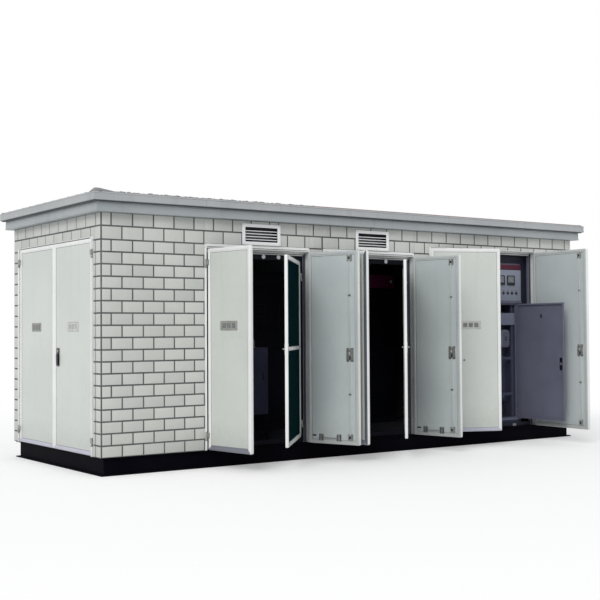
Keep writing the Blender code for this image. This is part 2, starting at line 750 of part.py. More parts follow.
def add_low_voltage_cabinet():
    x0 = front_x(doorway_3_start + cabinet_left_margin)
    x1 = front_x(doorway_3_end - cabinet_right_margin)
    y0 = front_y + cabinet_front
    y1 = y0 + cabinet_depth
    outer_x = x1 + cabinet_right_flank
    floor_z = base_height + seat_gap
    add_box("cabinet_plinth", cabinet_grey, (x0, outer_x), (y0, y1),
            (floor_z, floor_z + cabinet_plinth))
    body_z = floor_z + cabinet_plinth + seat_gap
    body_top = wall_top - cabinet_headroom
    body = add_box("low_voltage_cabinet", cabinet_grey, (x0, outer_x), (y0, y1),
                   (body_z, body_top))
    cavity_z = (base_height + cabinet_plinth + cabinet_sill, body_top - cabinet_upper_part)
    combine(body, box_mesh(x0 + cabinet_wall, x1 - cabinet_wall, y0 - cutter_reach,
                           y1 - cabinet_wall, *cavity_z), "DIFFERENCE")
    plate_y = y0 + plate_setback
    plate_top = cavity_z[1] - plate_top_gap
    side = cabinet_wall + seat_gap
    add_box("mounting_plate", cabinet_grey, (x0 + side, x1 - side),
            (plate_y, plate_y + plate_thickness), (cavity_z[0] + plate_bottom_gap, plate_top))
    breaker_back = plate_y - seat_gap
    centre = x1 - breaker_from_right
    breaker_z = plate_top - breaker_drop
    breaker = box_mesh(centre - breaker_width / 2, centre + breaker_width / 2,
                       breaker_back - breaker_depth, breaker_back,
                       breaker_z, breaker_z + breaker_height)
    upright = [edge for edge in breaker.edges
               if abs(edge.verts[0].co.y - edge.verts[1].co.y) > same_place]
    bmesh.ops.bevel(breaker, geom=upright, offset=breaker_round, segments=4, profile=0.5,
                    affect="EDGES")
    finish_mesh(breaker, "breaker", breaker_shell, smooth=True)

    # Door of the lower compartment, on pins that stand out from the body right of the cavity
    door_front = y0 - cabinet_door_gap - cabinet_door_thickness
    axis_x = x1 - cabinet_axis_inset
    axis_y = door_front - cabinet_axis_standoff
    hinge = add_empty("cabinet_door_hinge", (axis_x, axis_y, 0),
                      math.radians(open_cabinet_door))
    low = cavity_z[0] - cabinet_door_lap
    high = cavity_z[1] + cabinet_door_lap
    face = cabinet_axis_standoff
    back_face = face + cabinet_door_thickness
    near = -cabinet_side_gap
    far = -(x1 - x0 - 2 * cabinet_axis_inset)
    door = finish_mesh(box_mesh(far, near, face, back_face, low, high),
                       "cabinet_door", cabinet_grey)
    place(door, hinge)
    # the tray of the folded sheet, open towards the cabinet
    combine(door, box_mesh(far + sheet_fold, near - sheet_fold, face + sheet_fold,
                           back_face + cutter_reach, low + sheet_fold, high - sheet_fold),
            "DIFFERENCE")
    for z in (low + hinge_inset, high - hinge_inset - knuckle_length):
        add_small_hinge(body, door, axis_x, axis_y, z, face,
                        (inner_knuckle_radius / 3, cabinet_axis_inset - pin_end_inset),
                        y0 - axis_y)


add_low_voltage_cabinet()


def add_tall_cabinet(name, start):
    x0 = front_x(start)
    y1 = inside_back - seat_gap
    cabinet = box_mesh(x0, x0 + tall_cabinet_width, y1 - tall_cabinet_depth, y1,
                       base_height + seat_gap, wall_top - tall_cabinet_headroom)
    upright = [edge for edge in cabinet.edges
               if abs(edge.verts[0].co.z - edge.verts[1].co.z) > same_place]
    bmesh.ops.bevel(cabinet, geom=upright, offset=tall_cabinet_round, segments=2, profile=0.5,
                    affect="EDGES")
    finish_mesh(cabinet, name, cabinet_grey)


add_tall_cabinet("tall_cabinet_1", tall_cabinet_1_left)
add_tall_cabinet("tall_cabinet_2", tall_cabinet_2_left)


def add_metering_box():
    # A low box on legs with a bushing on its lid
    x0 = front_x(box_left)
    y0 = front_y + box_front
    z0 = base_height + box_bottom
    housing = add_box("metering_box", cabinet_grey, (x0, x0 + box_width), (y0, y0 + box_depth),
                      (z0, z0 + box_height))
    for x in (x0 + box_leg_inset, x0 + box_width - box_leg - box_leg_inset):
        for y in (y0 + box_leg_inset, y0 + box_depth - box_leg - box_leg_inset):
            combine(housing, box_mesh(x, x + box_leg, y, y + box_leg,
                                      base_height + seat_gap, z0 + box_leg_bite), "UNION")
    lid = z0 + box_height + seat_gap
    mesh_data = bmesh.new()
    outline = [mesh_data.verts.new((out * bushing_radius, 0, lid + up * bushing_height))
               for out, up in bushing_profile]
    edges = [mesh_data.edges.new(pair) for pair in zip(outline, outline[1:])]
    bmesh.ops.spin(mesh_data, geom=outline + edges, cent=(0, 0, 0), axis=(0, 0, 1),
                   angle=2 * math.pi, steps=12, use_merge=True)
    bmesh.ops.remove_doubles(mesh_data, verts=mesh_data.verts, dist=same_place)
    bmesh.ops.translate(mesh_data, verts=mesh_data.verts,
                        vec=(x0 + bushing_from_left, y0 + bushing_from_front, 0))
    finish_mesh(mesh_data, "bushing", breaker_shell, smooth=True)


add_metering_box()
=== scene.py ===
import math
import random

import bmesh
import bpy
from mathutils import Matrix, Vector


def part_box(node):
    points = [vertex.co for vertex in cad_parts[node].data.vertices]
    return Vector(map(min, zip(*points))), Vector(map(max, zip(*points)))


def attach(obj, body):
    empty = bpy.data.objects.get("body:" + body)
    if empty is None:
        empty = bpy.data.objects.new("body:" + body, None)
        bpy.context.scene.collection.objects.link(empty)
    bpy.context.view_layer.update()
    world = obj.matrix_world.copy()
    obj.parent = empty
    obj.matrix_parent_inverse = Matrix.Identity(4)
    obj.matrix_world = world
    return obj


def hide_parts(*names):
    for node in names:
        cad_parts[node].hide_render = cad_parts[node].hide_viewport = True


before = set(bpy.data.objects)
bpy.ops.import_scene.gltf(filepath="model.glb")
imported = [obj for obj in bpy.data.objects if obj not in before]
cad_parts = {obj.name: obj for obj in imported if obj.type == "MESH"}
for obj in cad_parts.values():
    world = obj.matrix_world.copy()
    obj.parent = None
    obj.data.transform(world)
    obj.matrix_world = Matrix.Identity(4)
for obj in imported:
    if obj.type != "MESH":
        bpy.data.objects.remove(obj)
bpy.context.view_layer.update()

chance = random.Random(41)

# Sizes that several pieces share, as on the frame
site = {
    "length": 6.75,
    "depth": 2.29,
    "baseTop": 0.18,
    "wallTop": 2.58,
    "wallThickness": 0.12,
    "gap": 0.0003,
}
frontY, backY = -site["depth"] / 2, site["depth"] / 2
leftX, rightX = -site["length"] / 2, site["length"] / 2
wallZ = site["baseTop"] + site["gap"]


# ---- Node helpers
def feed(tree, sockets, values):
    # A value is set on its socket, or linked to it when it comes from another node
    for label, value in values.items():
        if isinstance(value, bpy.types.NodeSocket):
            tree.links.new(value, sockets[label])
        else:
            sockets[label].default_value = value


def addNode(tree, kind, values=None, **settings):
    node = tree.nodes.new("ShaderNode" + kind)
    for key, value in settings.items():
        setattr(node, key, value)
    feed(tree, node.inputs, values or {})
    return node


def addMath(tree, operation, first, second, clamp=False):
    return addNode(tree, "Math", {0: first, 1: second}, operation=operation,
                   use_clamp=clamp).outputs[0]


def addRamp(tree, value, low, high):
    # Takes a value from 0 at low to 1 at high, with soft ends
    return addNode(tree, "MapRange", {"Value": value, "From Min": low, "From Max": high},
                   interpolation_type="SMOOTHSTEP").outputs["Result"]


def addNoise(tree, place, scale, detail=3.0, roughness=0.5):
    return addNode(tree, "TexNoise", {"Vector": place, "Scale": scale, "Detail": detail,
                                      "Roughness": roughness}).outputs["Fac"]


def mixColours(tree, factor, first, second, kind="MIX"):
    return addNode(tree, "Mix", {"Factor": factor, "A": first, "B": second}, data_type="RGBA",
                   blend_type=kind).outputs["Result"]


# ---- Shader node groups: effects that several materials share
groups = {}


def newGroup(name, inputs, outputs):
    # Gives the tree, its named inputs and outputs, and the place on the object in metres
    tree = groups[name] = bpy.data.node_groups.new(name, "ShaderNodeTree")
    for label, value in inputs.items():
        kind = "Float" if isinstance(value, float) else ("Vector", "Color")[len(value) - 3]
        tree.interface.new_socket(
            label, in_out="INPUT", socket_type="NodeSocket" + kind).default_value = value
    for label in outputs:
        kind = "Color" if label == "Colour" else "Float"
        tree.interface.new_socket(label, in_out="OUTPUT", socket_type="NodeSocket" + kind)
    given, out = tree.nodes.new("NodeGroupInput"), tree.nodes.new("NodeGroupOutput")
    return tree, given.outputs, out.inputs, addNode(tree, "TexCoord").outputs["Object"]


def makeToneGroup():
    # Slow and fine drift between two colours, in soft blotches
    tree, given, out, place = newGroup("toneDrift", {
        "Colour": (0.5, 0.5, 0.5, 1.0), "Other Colour": (0.4, 0.4, 0.4, 1.0), "Scale": 3.0,
        "Fine Share": 0.35}, ("Colour", "Mask"))
    slow = addNoise(tree, place, given["Scale"], 2.0)
    fine = addNoise(tree, place, addMath(tree, "MULTIPLY", given["Scale"], 14.0), 4.0, 0.6)
    drift = addMath(tree, "MULTIPLY", addMath(tree, "SUBTRACT", fine, 0.5), given["Fine Share"])
    mask = addRamp(tree, addMath(tree, "ADD", slow, drift), 0.32, 0.68)
    feed(tree, out, {"Mask": mask, "Colour": mixColours(tree, mask, given["Colour"],
                                                        given["Other Colour"])})


def makeRainGroup():
    # Narrow vertical runs of grime, strongest under a height and fading down
    tree, given, out, place = newGroup("rainRuns", {
        "Runs Per Metre": 9.0, "Top": 2.6, "Fall": 1.2, "Amount": 0.5}, ("Mask",))
    height = addNode(tree, "SeparateXYZ", {0: place}).outputs["Z"]
    thin = addNode(tree, "Mapping", {"Vector": place, "Scale": (1.0, 1.0, 0.05)}).outputs[0]
    runs = addRamp(tree, addNoise(tree, thin, given["Runs Per Metre"], 3.0, 0.65), 0.50, 0.72)
    below = addMath(tree, "SUBTRACT", given["Top"], height)
    fade = addMath(tree, "SUBTRACT", 1.0, addMath(tree, "DIVIDE", below, given["Fall"]), True)
    mask = addMath(tree, "MULTIPLY", runs, fade)
    feed(tree, out, {"Mask": addMath(tree, "MULTIPLY", mask, given["Amount"], True)})


def makeSplashGroup():
    # Dust and dried splashes that climb from a height, with a ragged upper edge
    tree, given, out, place = newGroup("groundSplash", {
        "Bottom": 0.18, "Reach": 0.35, "Amount": 0.5}, ("Mask",))
    height = addNode(tree, "SeparateXYZ", {0: place}).outputs["Z"]
    ragged = addMath(tree, "MULTIPLY", addNoise(tree, place, 16.0, 5.0, 0.7), given["Reach"])
    above = addMath(tree, "ADD", addMath(tree, "SUBTRACT", height, given["Bottom"]), ragged)
    mask = addMath(tree, "SUBTRACT", 1.4, addMath(tree, "DIVIDE", above, given["Reach"]), True)
    feed(tree, out, {"Mask": addMath(tree, "MULTIPLY", mask, given["Amount"], True)})


def makeCoatGroup():
    # Orange peel of a sprayed or powder coat, with a few scuffs
    tree, given, out, place = newGroup("coatSkin", {
        "Peel Scale": 260.0, "Scuff Scale": 7.0, "Base Roughness": 0.45, "Scuff Amount": 0.25},
        ("Height", "Roughness", "Scuffs"))
    patches = addRamp(tree, addNoise(tree, place, given["Scuff Scale"], 6.0, 0.72), 0.60, 0.74)
    scuffs = addMath(tree, "MULTIPLY", patches, given["Scuff Amount"])
    feed(tree, out, {"Height": addNoise(tree, place, given["Peel Scale"], 2.0), "Scuffs": scuffs,
                     "Roughness": addMath(tree, "ADD", given["Base Roughness"], scuffs, True)})


def makeBrushGroup():
    # Fine lines of drawn or brushed metal along one axis
    tree, given, out, place = newGroup("drawnLines", {
        "Along": (1.0, 1.0, 0.02), "Scale": 420.0, "Base Roughness": 0.3}, ("Height", "Roughness"))
    drawn = addNode(tree, "VectorMath", {0: place, 1: given["Along"]}, operation="MULTIPLY")
    lines = addNoise(tree, drawn.outputs[0], given["Scale"], 3.0, 0.6)
    spread = addMath(tree, "MULTIPLY", addMath(tree, "SUBTRACT", lines, 0.5), 0.3)
    feed(tree, out, {"Height": lines, "Roughness": addMath(
        tree, "ADD", given["Base Roughness"], spread, True)})


def makeGrainGroup():
    # Sand grain and pin holes of cement and pressed faces
    tree, given, out, place = newGroup("sandGrain", {
        "Scale": 180.0, "Pit Share": 0.3}, ("Height", "Pits"))
    grain = addNoise(tree, place, given["Scale"], 5.0, 0.65)
    cells = addNode(tree, "TexVoronoi", {
        "Vector": place, "Scale": addMath(tree, "MULTIPLY", given["Scale"], 0.5)})
    holes = addMath(tree, "SUBTRACT", 1.0, addRamp(tree, cells.outputs["Distance"], 0.05, 0.22))
    pits = addMath(tree, "MULTIPLY", holes, given["Pit Share"])
    feed(tree, out, {"Height": addMath(tree, "SUBTRACT", grain, pits), "Pits": pits})


makeToneGroup()
makeRainGroup()
makeSplashGroup()
makeCoatGroup()
makeBrushGroup()
makeGrainGroup()
print("shader groups made")


# ---- Materials
finish = {}


def placeGroup(tree, name, values):
    node = tree.nodes.new("ShaderNodeGroup")
    node.node_tree = groups[name]
    feed(tree, node.inputs, values)
    return node.outputs


def startMaterial(name, metallic=0.0, specular=0.5):
    material = finish[name] = bpy.data.materials.new(name)
    material.use_nodes = True
    shader = material.node_tree.nodes["Principled BSDF"].inputs
    shader["Metallic"].default_value = metallic
    shader["Specular IOR Level"].default_value = specular
    return material.node_tree, shader


def finishShader(tree, shader, colour, roughness, height, distance, strength):
    bump = addNode(tree, "Bump", {"Strength": strength, "Distance": distance, "Height": height})
    feed(tree, shader, {"Base Color": colour, "Roughness": roughness,
                        "Normal": bump.outputs["Normal"]})


def solid(colour):
    return (*colour, 1.0)


def addTone(tree, colour, other, scale):
    return placeGroup(tree, "toneDrift", {
        "Colour": solid(colour), "Other Colour": solid(other), "Scale": scale})


paintLook = {
    "metallic": 0.0, "specular": 0.5, "coat": 0.0, "scale": 2.2, "dirt": (0.16, 0.15, 0.13),
    "rain": 0.0, "rainTop": 2.6, "rainFall": 1.6, "runs": 9.0,
    "splash": 0.0, "splashBottom": 0.18, "reach": 0.3,
    "peel": 260.0, "roughness": 0.42, "scuff": 0.12, "worn": None,
}


def addPaint(name, colour, other, **given):
    # Sprayed or powder-coated metal: tone drift, rain runs, dust from below, scuffs and peel
    look = {**paintLook, **given}
    tree, shader = startMaterial(name, look["metallic"], look["specular"])
    shader["Coat Weight"].default_value = look["coat"]
    shader["Coat Roughness"].default_value = 0.25
    tone = addTone(tree, colour, other, look["scale"])["Colour"]
    dirt = solid(look["dirt"])
    if look["rain"]:
        rain = placeGroup(tree, "rainRuns", {"Top": look["rainTop"], "Fall": look["rainFall"],
                                             "Amount": look["rain"],
                                             "Runs Per Metre": look["runs"]})
        tone = mixColours(tree, rain["Mask"], tone, dirt)
    if look["splash"]:
        splash = placeGroup(tree, "groundSplash", {
            "Amount": look["splash"], "Bottom": look["splashBottom"], "Reach": look["reach"]})
        tone = mixColours(tree, splash["Mask"], tone, dirt)
    coat = placeGroup(tree, "coatSkin", {"Peel Scale": look["peel"], "Scuff Amount": look["scuff"],
                                         "Base Roughness": look["roughness"]})
    tone = mixColours(tree, coat["Scuffs"], tone, solid(look["worn"] or other))
    finishShader(tree, shader, tone, coat["Roughness"], coat["Height"], 0.0004, 0.35)


def addMetal(name, colour, other, metallic=1.0, scale=9.0, roughness=0.32, along=(1.0, 1.0, 0.03)):
    # Bare or plated metal with drawn lines
    tree, shader = startMaterial(name, metallic)
    lines = placeGroup(tree, "drawnLines", {"Along": along, "Scale": 380.0,
                                            "Base Roughness": roughness})
    finishShader(tree, shader, addTone(tree, colour, other, scale)["Colour"], lines["Roughness"],
                 lines["Height"], 0.0003, 0.3)


def addMoulding(name, colour, other, roughness=0.5, specular=0.5):
    # Moulded plastic, rubber or resin with a fine spark grain
    tree, shader = startMaterial(name, specular=specular)
    coat = placeGroup(tree, "coatSkin", {"Peel Scale": 900.0, "Scuff Scale": 30.0,
                                         "Base Roughness": roughness, "Scuff Amount": 0.15})
    finishShader(tree, shader, addTone(tree, colour, other, 20.0)["Colour"], coat["Roughness"],
                 coat["Height"], 0.0002, 0.35)


def addGlazing(name, colour, other):
    # Tinted glazing, nearly opaque, with wiped dust
    tree, shader = startMaterial(name, specular=0.0)
    tone = addTone(tree, colour, other, 2.5)
    coat = placeGroup(tree, "coatSkin", {"Base Roughness": 0.5, "Scuff Amount": 0.2,
                                         "Scuff Scale": 5.0})
    finishShader(tree, shader, tone["Colour"], coat["Roughness"], tone["Mask"], 0.0006, 0.1)


def addBrick(name, colour, other, stain, dirt):
    # Pressed brick face: each brick has its own tone, with sand grain, soft stains and rain runs
    tree, shader = startMaterial(name)
    ownTone = addNode(tree, "Attribute", attribute_name="brickTone").outputs["Fac"]
    base = mixColours(tree, ownTone, solid(colour), solid(other))
    base = mixColours(tree, 0.55, base, addTone(tree, (1.0, 1.0, 1.0), stain, 1.6)["Colour"],
                      "MULTIPLY")
    rain = placeGroup(tree, "rainRuns", {"Amount": 0.1, "Top": site["wallTop"], "Fall": 1.1})
    splash = placeGroup(tree, "groundSplash", {"Amount": 0.18})
    grain = placeGroup(tree, "sandGrain", {"Scale": 150.0})
    for mask in (rain["Mask"], splash["Mask"], grain["Pits"]):
        base = mixColours(tree, mask, base, solid(dirt))
    rough = addMath(tree, "ADD", addMath(tree, "MULTIPLY", grain["Height"], 0.25), 0.62)
    finishShader(tree, shader, base, rough, grain["Height"], 0.0012, 0.45)


def addCement(name, colour, other, pit):
    tree, shader = startMaterial(name)
    grain = placeGroup(tree, "sandGrain", {"Scale": 260.0})
    base = mixColours(tree, grain["Pits"], addTone(tree, colour, other, 5.0)["Colour"], solid(pit))
    rough = addMath(tree, "ADD", addMath(tree, "MULTIPLY", grain["Height"], 0.2), 0.75)
    finishShader(tree, shader, base, rough, grain["Height"], 0.0015, 0.6)


addBrick("brickFace", (0.64, 0.65, 0.622), (0.545, 0.562, 0.54), stain=(0.89, 0.895, 0.88),
         dirt=(0.26, 0.25, 0.23))
addCement("mortar", (0.125, 0.132, 0.13), (0.09, 0.096, 0.096), pit=(0.03, 0.03, 0.03))
# Walls, roof and base
# Painted shade: the room's wall and ceiling paints are near-black for the unlit rooms
addPaint("innerWallPaintedShade", (0.045, 0.048, 0.06), (0.036, 0.039, 0.052), roughness=0.65, splash=0.15,
         dirt=(0.07, 0.065, 0.06), specular=0.25)
addPaint("ceilingPaintedShade", (0.055, 0.058, 0.068), (0.045, 0.048, 0.058), roughness=0.7)
addPaint("upperBand", (0.44, 0.455, 0.465), (0.395, 0.415, 0.43), rain=0.22, rainTop=2.83,
         rainFall=0.3, runs=14.0, dirt=(0.2, 0.19, 0.18), roughness=0.5, scuff=0.1)
addPaint("lowerBand", (0.4, 0.43, 0.445), (0.365, 0.4, 0.415), rain=0.2, rainTop=2.7,
         rainFall=0.25, runs=12.0, dirt=(0.17, 0.17, 0.17), roughness=0.48, scuff=0.1)
# Painted shade: dark paint for the recess under the upper band
addPaint("bandPaintedShade", (0.105, 0.112, 0.12), (0.08, 0.086, 0.094), roughness=0.6)
addPaint("roofTin", (0.33, 0.32, 0.32), (0.28, 0.28, 0.29), metallic=0.2, roughness=0.45,
         worn=(0.4, 0.26, 0.2), scuff=0.25, rain=0.3, rainTop=2.95, rainFall=0.4)
addPaint("capRed", (0.44, 0.335, 0.335), (0.38, 0.3, 0.3), roughness=0.5, scuff=0.2,
         worn=(0.34, 0.24, 0.21))
addPaint("baseSteel", (0.0015, 0.0014, 0.0039), (0.0023, 0.0022, 0.0052), roughness=0.62,
         splash=0.1, splashBottom=0.0, reach=0.06, dirt=(0.018, 0.017, 0.018),
         worn=(0.01, 0.009, 0.012), specular=0.03)
addPaint("floorSteel", (0.03, 0.032, 0.042), (0.044, 0.045, 0.054), roughness=0.6,
         worn=(0.09, 0.09, 0.095), scuff=0.2, specular=0.25)
# Doors and vents
addPaint("whiteBar", (0.88, 0.89, 0.88), (0.82, 0.83, 0.825), roughness=0.26, coat=0.25, rain=0.12,
         rainFall=2.4, splash=0.16, reach=0.2, scuff=0.06, worn=(0.55, 0.56, 0.55), peel=420.0)
addPaint("doorSkin", (0.64, 0.668, 0.632), (0.595, 0.628, 0.598), roughness=0.34, coat=0.15,
         rain=0.07, rainFall=2.6, splash=0.2, reach=0.35, scuff=0.07, worn=(0.45, 0.47, 0.43),
         scale=1.1)
# Painted shade: a darker, bluer copy of the door skin for the leaves' room side
addPaint("insideSkinPaintedShade", (0.575, 0.625, 0.63), (0.525, 0.58, 0.588), roughness=0.36, coat=0.1,
         rain=0.06, splash=0.22, scuff=0.08, scale=1.3, worn=(0.36, 0.39, 0.37))
# Painted shade: a greyer copy of the white bar paint for the leaves' room side and the inner doors'
# hinge stiles
addPaint("innerBar", (0.56, 0.59, 0.59), (0.515, 0.548, 0.55), roughness=0.34, coat=0.1,
         splash=0.22, scuff=0.08, worn=(0.4, 0.42, 0.41))
addPaint("lowRail", (0.5, 0.505, 0.59), (0.455, 0.46, 0.545), roughness=0.32, coat=0.15, scuff=0.1,
         worn=(0.36, 0.36, 0.4))
addPaint("kickStrip", (0.215, 0.222, 0.262), (0.19, 0.196, 0.235), roughness=0.36,
         worn=(0.17, 0.17, 0.2))
addPaint("ventWhite", (0.95, 0.955, 0.96), (0.9, 0.905, 0.92), roughness=0.3, rain=0.1,
         rainFall=0.4, scuff=0.05, worn=(0.7, 0.7, 0.71))
# Painted shade: darker grey-blue paint for the shaded lower jamb stops
addPaint("jambPaintedShade", (0.15, 0.158, 0.205), (0.12, 0.128, 0.17), roughness=0.45, scuff=0.15,
         worn=(0.24, 0.25, 0.28))
# Painted shadow: dark paint for doorway 2's shaded free stile
addPaint("stilePaintedShadow", (0.11, 0.122, 0.148), (0.085, 0.095, 0.118), roughness=0.5, scuff=0.15,
         worn=(0.2, 0.2, 0.22))
addPaint("darkBar", (0.0055, 0.0058, 0.012), (0.0085, 0.0088, 0.016), roughness=0.55, scuff=0.1,
         worn=(0.03, 0.03, 0.036), specular=0.12)
addMoulding("gasket", (0.02, 0.021, 0.028), (0.035, 0.036, 0.042), roughness=0.7)
addGlazing("darkGlazing", (0.0054, 0.0256, 0.0318), (0.0078, 0.031, 0.0372))
addMoulding("meshWire", (0.003, 0.015, 0.018), (0.005, 0.02, 0.023), roughness=0.75, specular=0.0)
addMoulding("blackGrip", (0.012, 0.012, 0.016), (0.022, 0.022, 0.028), roughness=0.35)
addMetal("zincSteel", (0.4, 0.42, 0.39), (0.28, 0.3, 0.28), metallic=0.75, roughness=0.38,
         scale=18.0)
plateRun = {"scale": 14.0, "along": (0.03, 0.03, 1.0)}
addMetal("plateSteel", (0.46, 0.47, 0.44), (0.38, 0.39, 0.37), 0.6, roughness=0.4, **plateRun)
addMetal("plateWorn", (0.3, 0.31, 0.29), (0.24, 0.25, 0.24), 0.5, roughness=0.45, **plateRun)
addMetal("platePale", (0.6, 0.62, 0.59), (0.54, 0.56, 0.53), 0.4, roughness=0.4, **plateRun)
addMoulding("plateInk", (0.16, 0.165, 0.16), (0.21, 0.215, 0.21), roughness=0.55)
# Cabinets and what is on them
# Painted shade: near-black paint for the filler sheets and threshold where the room behind lies in
# shade
addPaint("fillerPaintedShade", (0.0219, 0.0245, 0.0405), (0.0182, 0.0203, 0.0345), roughness=0.5,
         scuff=0.1, worn=(0.08, 0.085, 0.12), specular=0.25)
addPaint("cabinetCoat", (0.15, 0.155, 0.215), (0.13, 0.135, 0.19), roughness=0.46,
         worn=(0.16, 0.16, 0.19), peel=340.0, specular=0.3)
addPaint("meterCoat", (0.08, 0.086, 0.15), (0.066, 0.072, 0.128), roughness=0.5, scuff=0.1,
         worn=(0.11, 0.11, 0.15), specular=0.25)
addPaint("cabinetPale", (0.285, 0.315, 0.39), (0.255, 0.285, 0.355), roughness=0.44, scuff=0.1,
         peel=340.0, specular=0.3)
addPaint("crossGrey", (0.22, 0.24, 0.325), (0.19, 0.21, 0.29), roughness=0.46, scuff=0.1,
         peel=340.0, specular=0.3)
addPaint("cabinetDark", (0.075, 0.082, 0.135), (0.06, 0.066, 0.112), roughness=0.55,
         worn=(0.11, 0.11, 0.15), specular=0.25)
addPaint("roomCabinet", (0.013, 0.013, 0.024), (0.009, 0.009, 0.018), roughness=0.55, scuff=0.1,
         worn=(0.03, 0.03, 0.045), specular=0.12)
addPaint("roomHeader", (0.23, 0.02, 0.1), (0.18, 0.016, 0.08), roughness=0.45, scuff=0.08,
         worn=(0.1, 0.02, 0.03), specular=0.25)
addPaint("headerRed", (0.115, 0.02, 0.045), (0.092, 0.017, 0.038), scuff=0.08,
         worn=(0.16, 0.05, 0.07), specular=0.3)
addMoulding("meterFace", (0.215, 0.225, 0.245), (0.185, 0.195, 0.215), roughness=0.35)
addMoulding("breakerGrey", (0.195, 0.21, 0.275), (0.165, 0.18, 0.24))
addMoulding("porcelain", (0.56, 0.56, 0.54), (0.48, 0.48, 0.47), roughness=0.18)
addMoulding("lampGlass", (0.9, 0.92, 0.93), (0.82, 0.84, 0.86), roughness=0.2)
addMetal("busCopper", (0.6, 0.3, 0.17), (0.42, 0.2, 0.12), roughness=0.35)
print("materials made:", len(finish))


# ---- Mesh tools
def addObject(name, data):
    made = bpy.data.objects.new(name, data)
    bpy.context.scene.collection.objects.link(made)
    return made


def placedAt(point, degrees):
    return Matrix.Translation(point) @ Matrix.Rotation(math.radians(degrees), 4, "Z")


# A Shape gathers solid bits, each in its own material, into one piece
class Shape:
    def __init__(self, place=None):
        self.mesh = bmesh.new()
        self.names = []
        self.place = place or Matrix.Identity(4)

    def paint(self, faces, material):
        if material not in self.names:
            self.names.append(material)
        index = self.names.index(material)
        for face in faces:
            face.material_index = index

    def paintWhere(self, faces, test, material):
        # Paints the faces whose middle passes the test
        self.paint([face for face in faces if face.is_valid and test(face.calc_center_median())],
                   material)

    def block(self, low, high, material, bevel=0.0, steps=2):
        # A box from its low to its high corner, with its edges rounded
        size = [abs(b - a) for a, b in zip(low, high)]
        middle = [(a + b) / 2 for a, b in zip(low, high)]
        placing = Matrix.Translation(middle) @ Matrix.Diagonal((*size, 1.0))
        made = bmesh.ops.create_cube(self.mesh, size=1.0, matrix=placing)["verts"]
        faces = {face for vert in made for face in vert.link_faces}
        if bevel > 0:
            edges = list({edge for vert in made for edge in vert.link_edges})
            rounded = bmesh.ops.bevel(self.mesh, geom=edges, offset=min(bevel, min(size) * 0.49),
                                      segments=steps, profile=0.5, affect="EDGES",
                                      clamp_overlap=True)
            faces = {f for f in faces if f.is_valid} | set(rounded["faces"])
            faces |= {f for vert in rounded["verts"] if vert.is_valid for f in vert.link_faces}
        self.paint(faces, material)
        return faces

    def skin(self, rings, material, looped=False):
        # Joins each ring of points to the next. A looped run goes back to its first ring,
        # any other gets its two ends closed.
        made = [[self.mesh.verts.new(point) for point in ring] for ring in rings]
        faces = [self.mesh.faces.new((ring[step - 1], ring[step], other[step], other[step - 1]))
                 for ring, other in zip(made, made[1:] + made[:looped])
                 for step in range(len(ring))]
        if not looped:
            faces += [self.mesh.faces.new(made[0][::-1]), self.mesh.faces.new(made[-1])]
        self.paint(faces, material)
        return faces

    def turned(self, start, end, outline, material, sides=20):
        # A lathe form from start to end. The outline holds (share of the way, radius) pairs.
        start, along = Vector(start), Vector(end) - Vector(start)
        across = along.orthogonal().normalized()
        other = along.cross(across).normalized()
        spokes = [across * math.cos(a) + other * math.sin(a)
                  for a in (2 * math.pi * step / sides for step in range(sides))]
        self.skin([[start + along * share + spoke * radius for spoke in spokes]
                   for share, radius in outline], material)

    def rod(self, start, end, radius, material, sides=16, soften=0.1):
        # A round bar with softened ends
        length = (Vector(end) - Vector(start)).length
        cut = min(radius * soften * 2, length * 0.2) / length
        small = radius * (1 - soften)
        self.turned(start, end, ((0, small), (cut, radius), (1 - cut, radius), (1, small)),
                    material, sides)

    def bar(self, points, outline, material):
        # A straight or bent bar: the same outline of points at each place of the path
        self.skin([[Vector(point) + Vector(step) for step in outline] for point in points],
                  material)

    def finish(self, name, body, replaces, slot, angle=34):
        bmesh.ops.recalc_face_normals(self.mesh, faces=self.mesh.faces)
        self.mesh.transform(self.place)
        data = bpy.data.meshes.new(name)
        self.mesh.to_mesh(data)
        self.mesh.free()
        for material in self.names:
            data.materials.append(finish[material])
        data.shade_smooth()
        data.set_sharp_from_angle(angle=math.radians(angle))
        piece = addObject(name, data)
        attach(piece, body)
        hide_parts(*replaces)


def arc(x, y, radius, start, steps):
    # Points of a quarter turn from a starting angle
    angles = [math.radians(start + 90 * step / steps) for step in range(steps + 1)]
    return [(x + radius * math.cos(a), y + radius * math.sin(a)) for a in angles]


def roundedOutline(x0, x1, z0, z1, inset, radius, steps=5):
    # A rounded rectangle in the XZ plane, set in by a distance, with matching points
    x0, x1, z0, z1 = x0 + inset, x1 - inset, z0 + inset, z1 - inset
    turn = max(radius - inset, 0.0012)
    corners = ((x1 - turn, z1 - turn, 0), (x0 + turn, z1 - turn, 90),
               (x0 + turn, z0 + turn, 180), (x1 - turn, z0 + turn, 270))
    return [point for x, z, start in corners for point in arc(x, z, turn, start, steps)]


def softSection(width, y0, y1, soft, steps=3):
    # Cross-section of a bar in (inset, y), with its outer edges rounded
    corners = ((soft, y0 + soft, 180), (width - soft, y0 + soft, 270),
               (width - soft, y1 - soft, 0), (soft, y1 - soft, 90))
    return [point for x, y, start in corners for point in arc(x, y, soft, start, steps)]


def addRing(shape, x0, x1, z0, z1, section, radius, material):
    # A frame of one cross-section round a rectangle
    return shape.skin([[(x, y, z) for x, z in roundedOutline(x0, x1, z0, z1, inset, radius)]
                       for inset, y in section], material, looped=True)


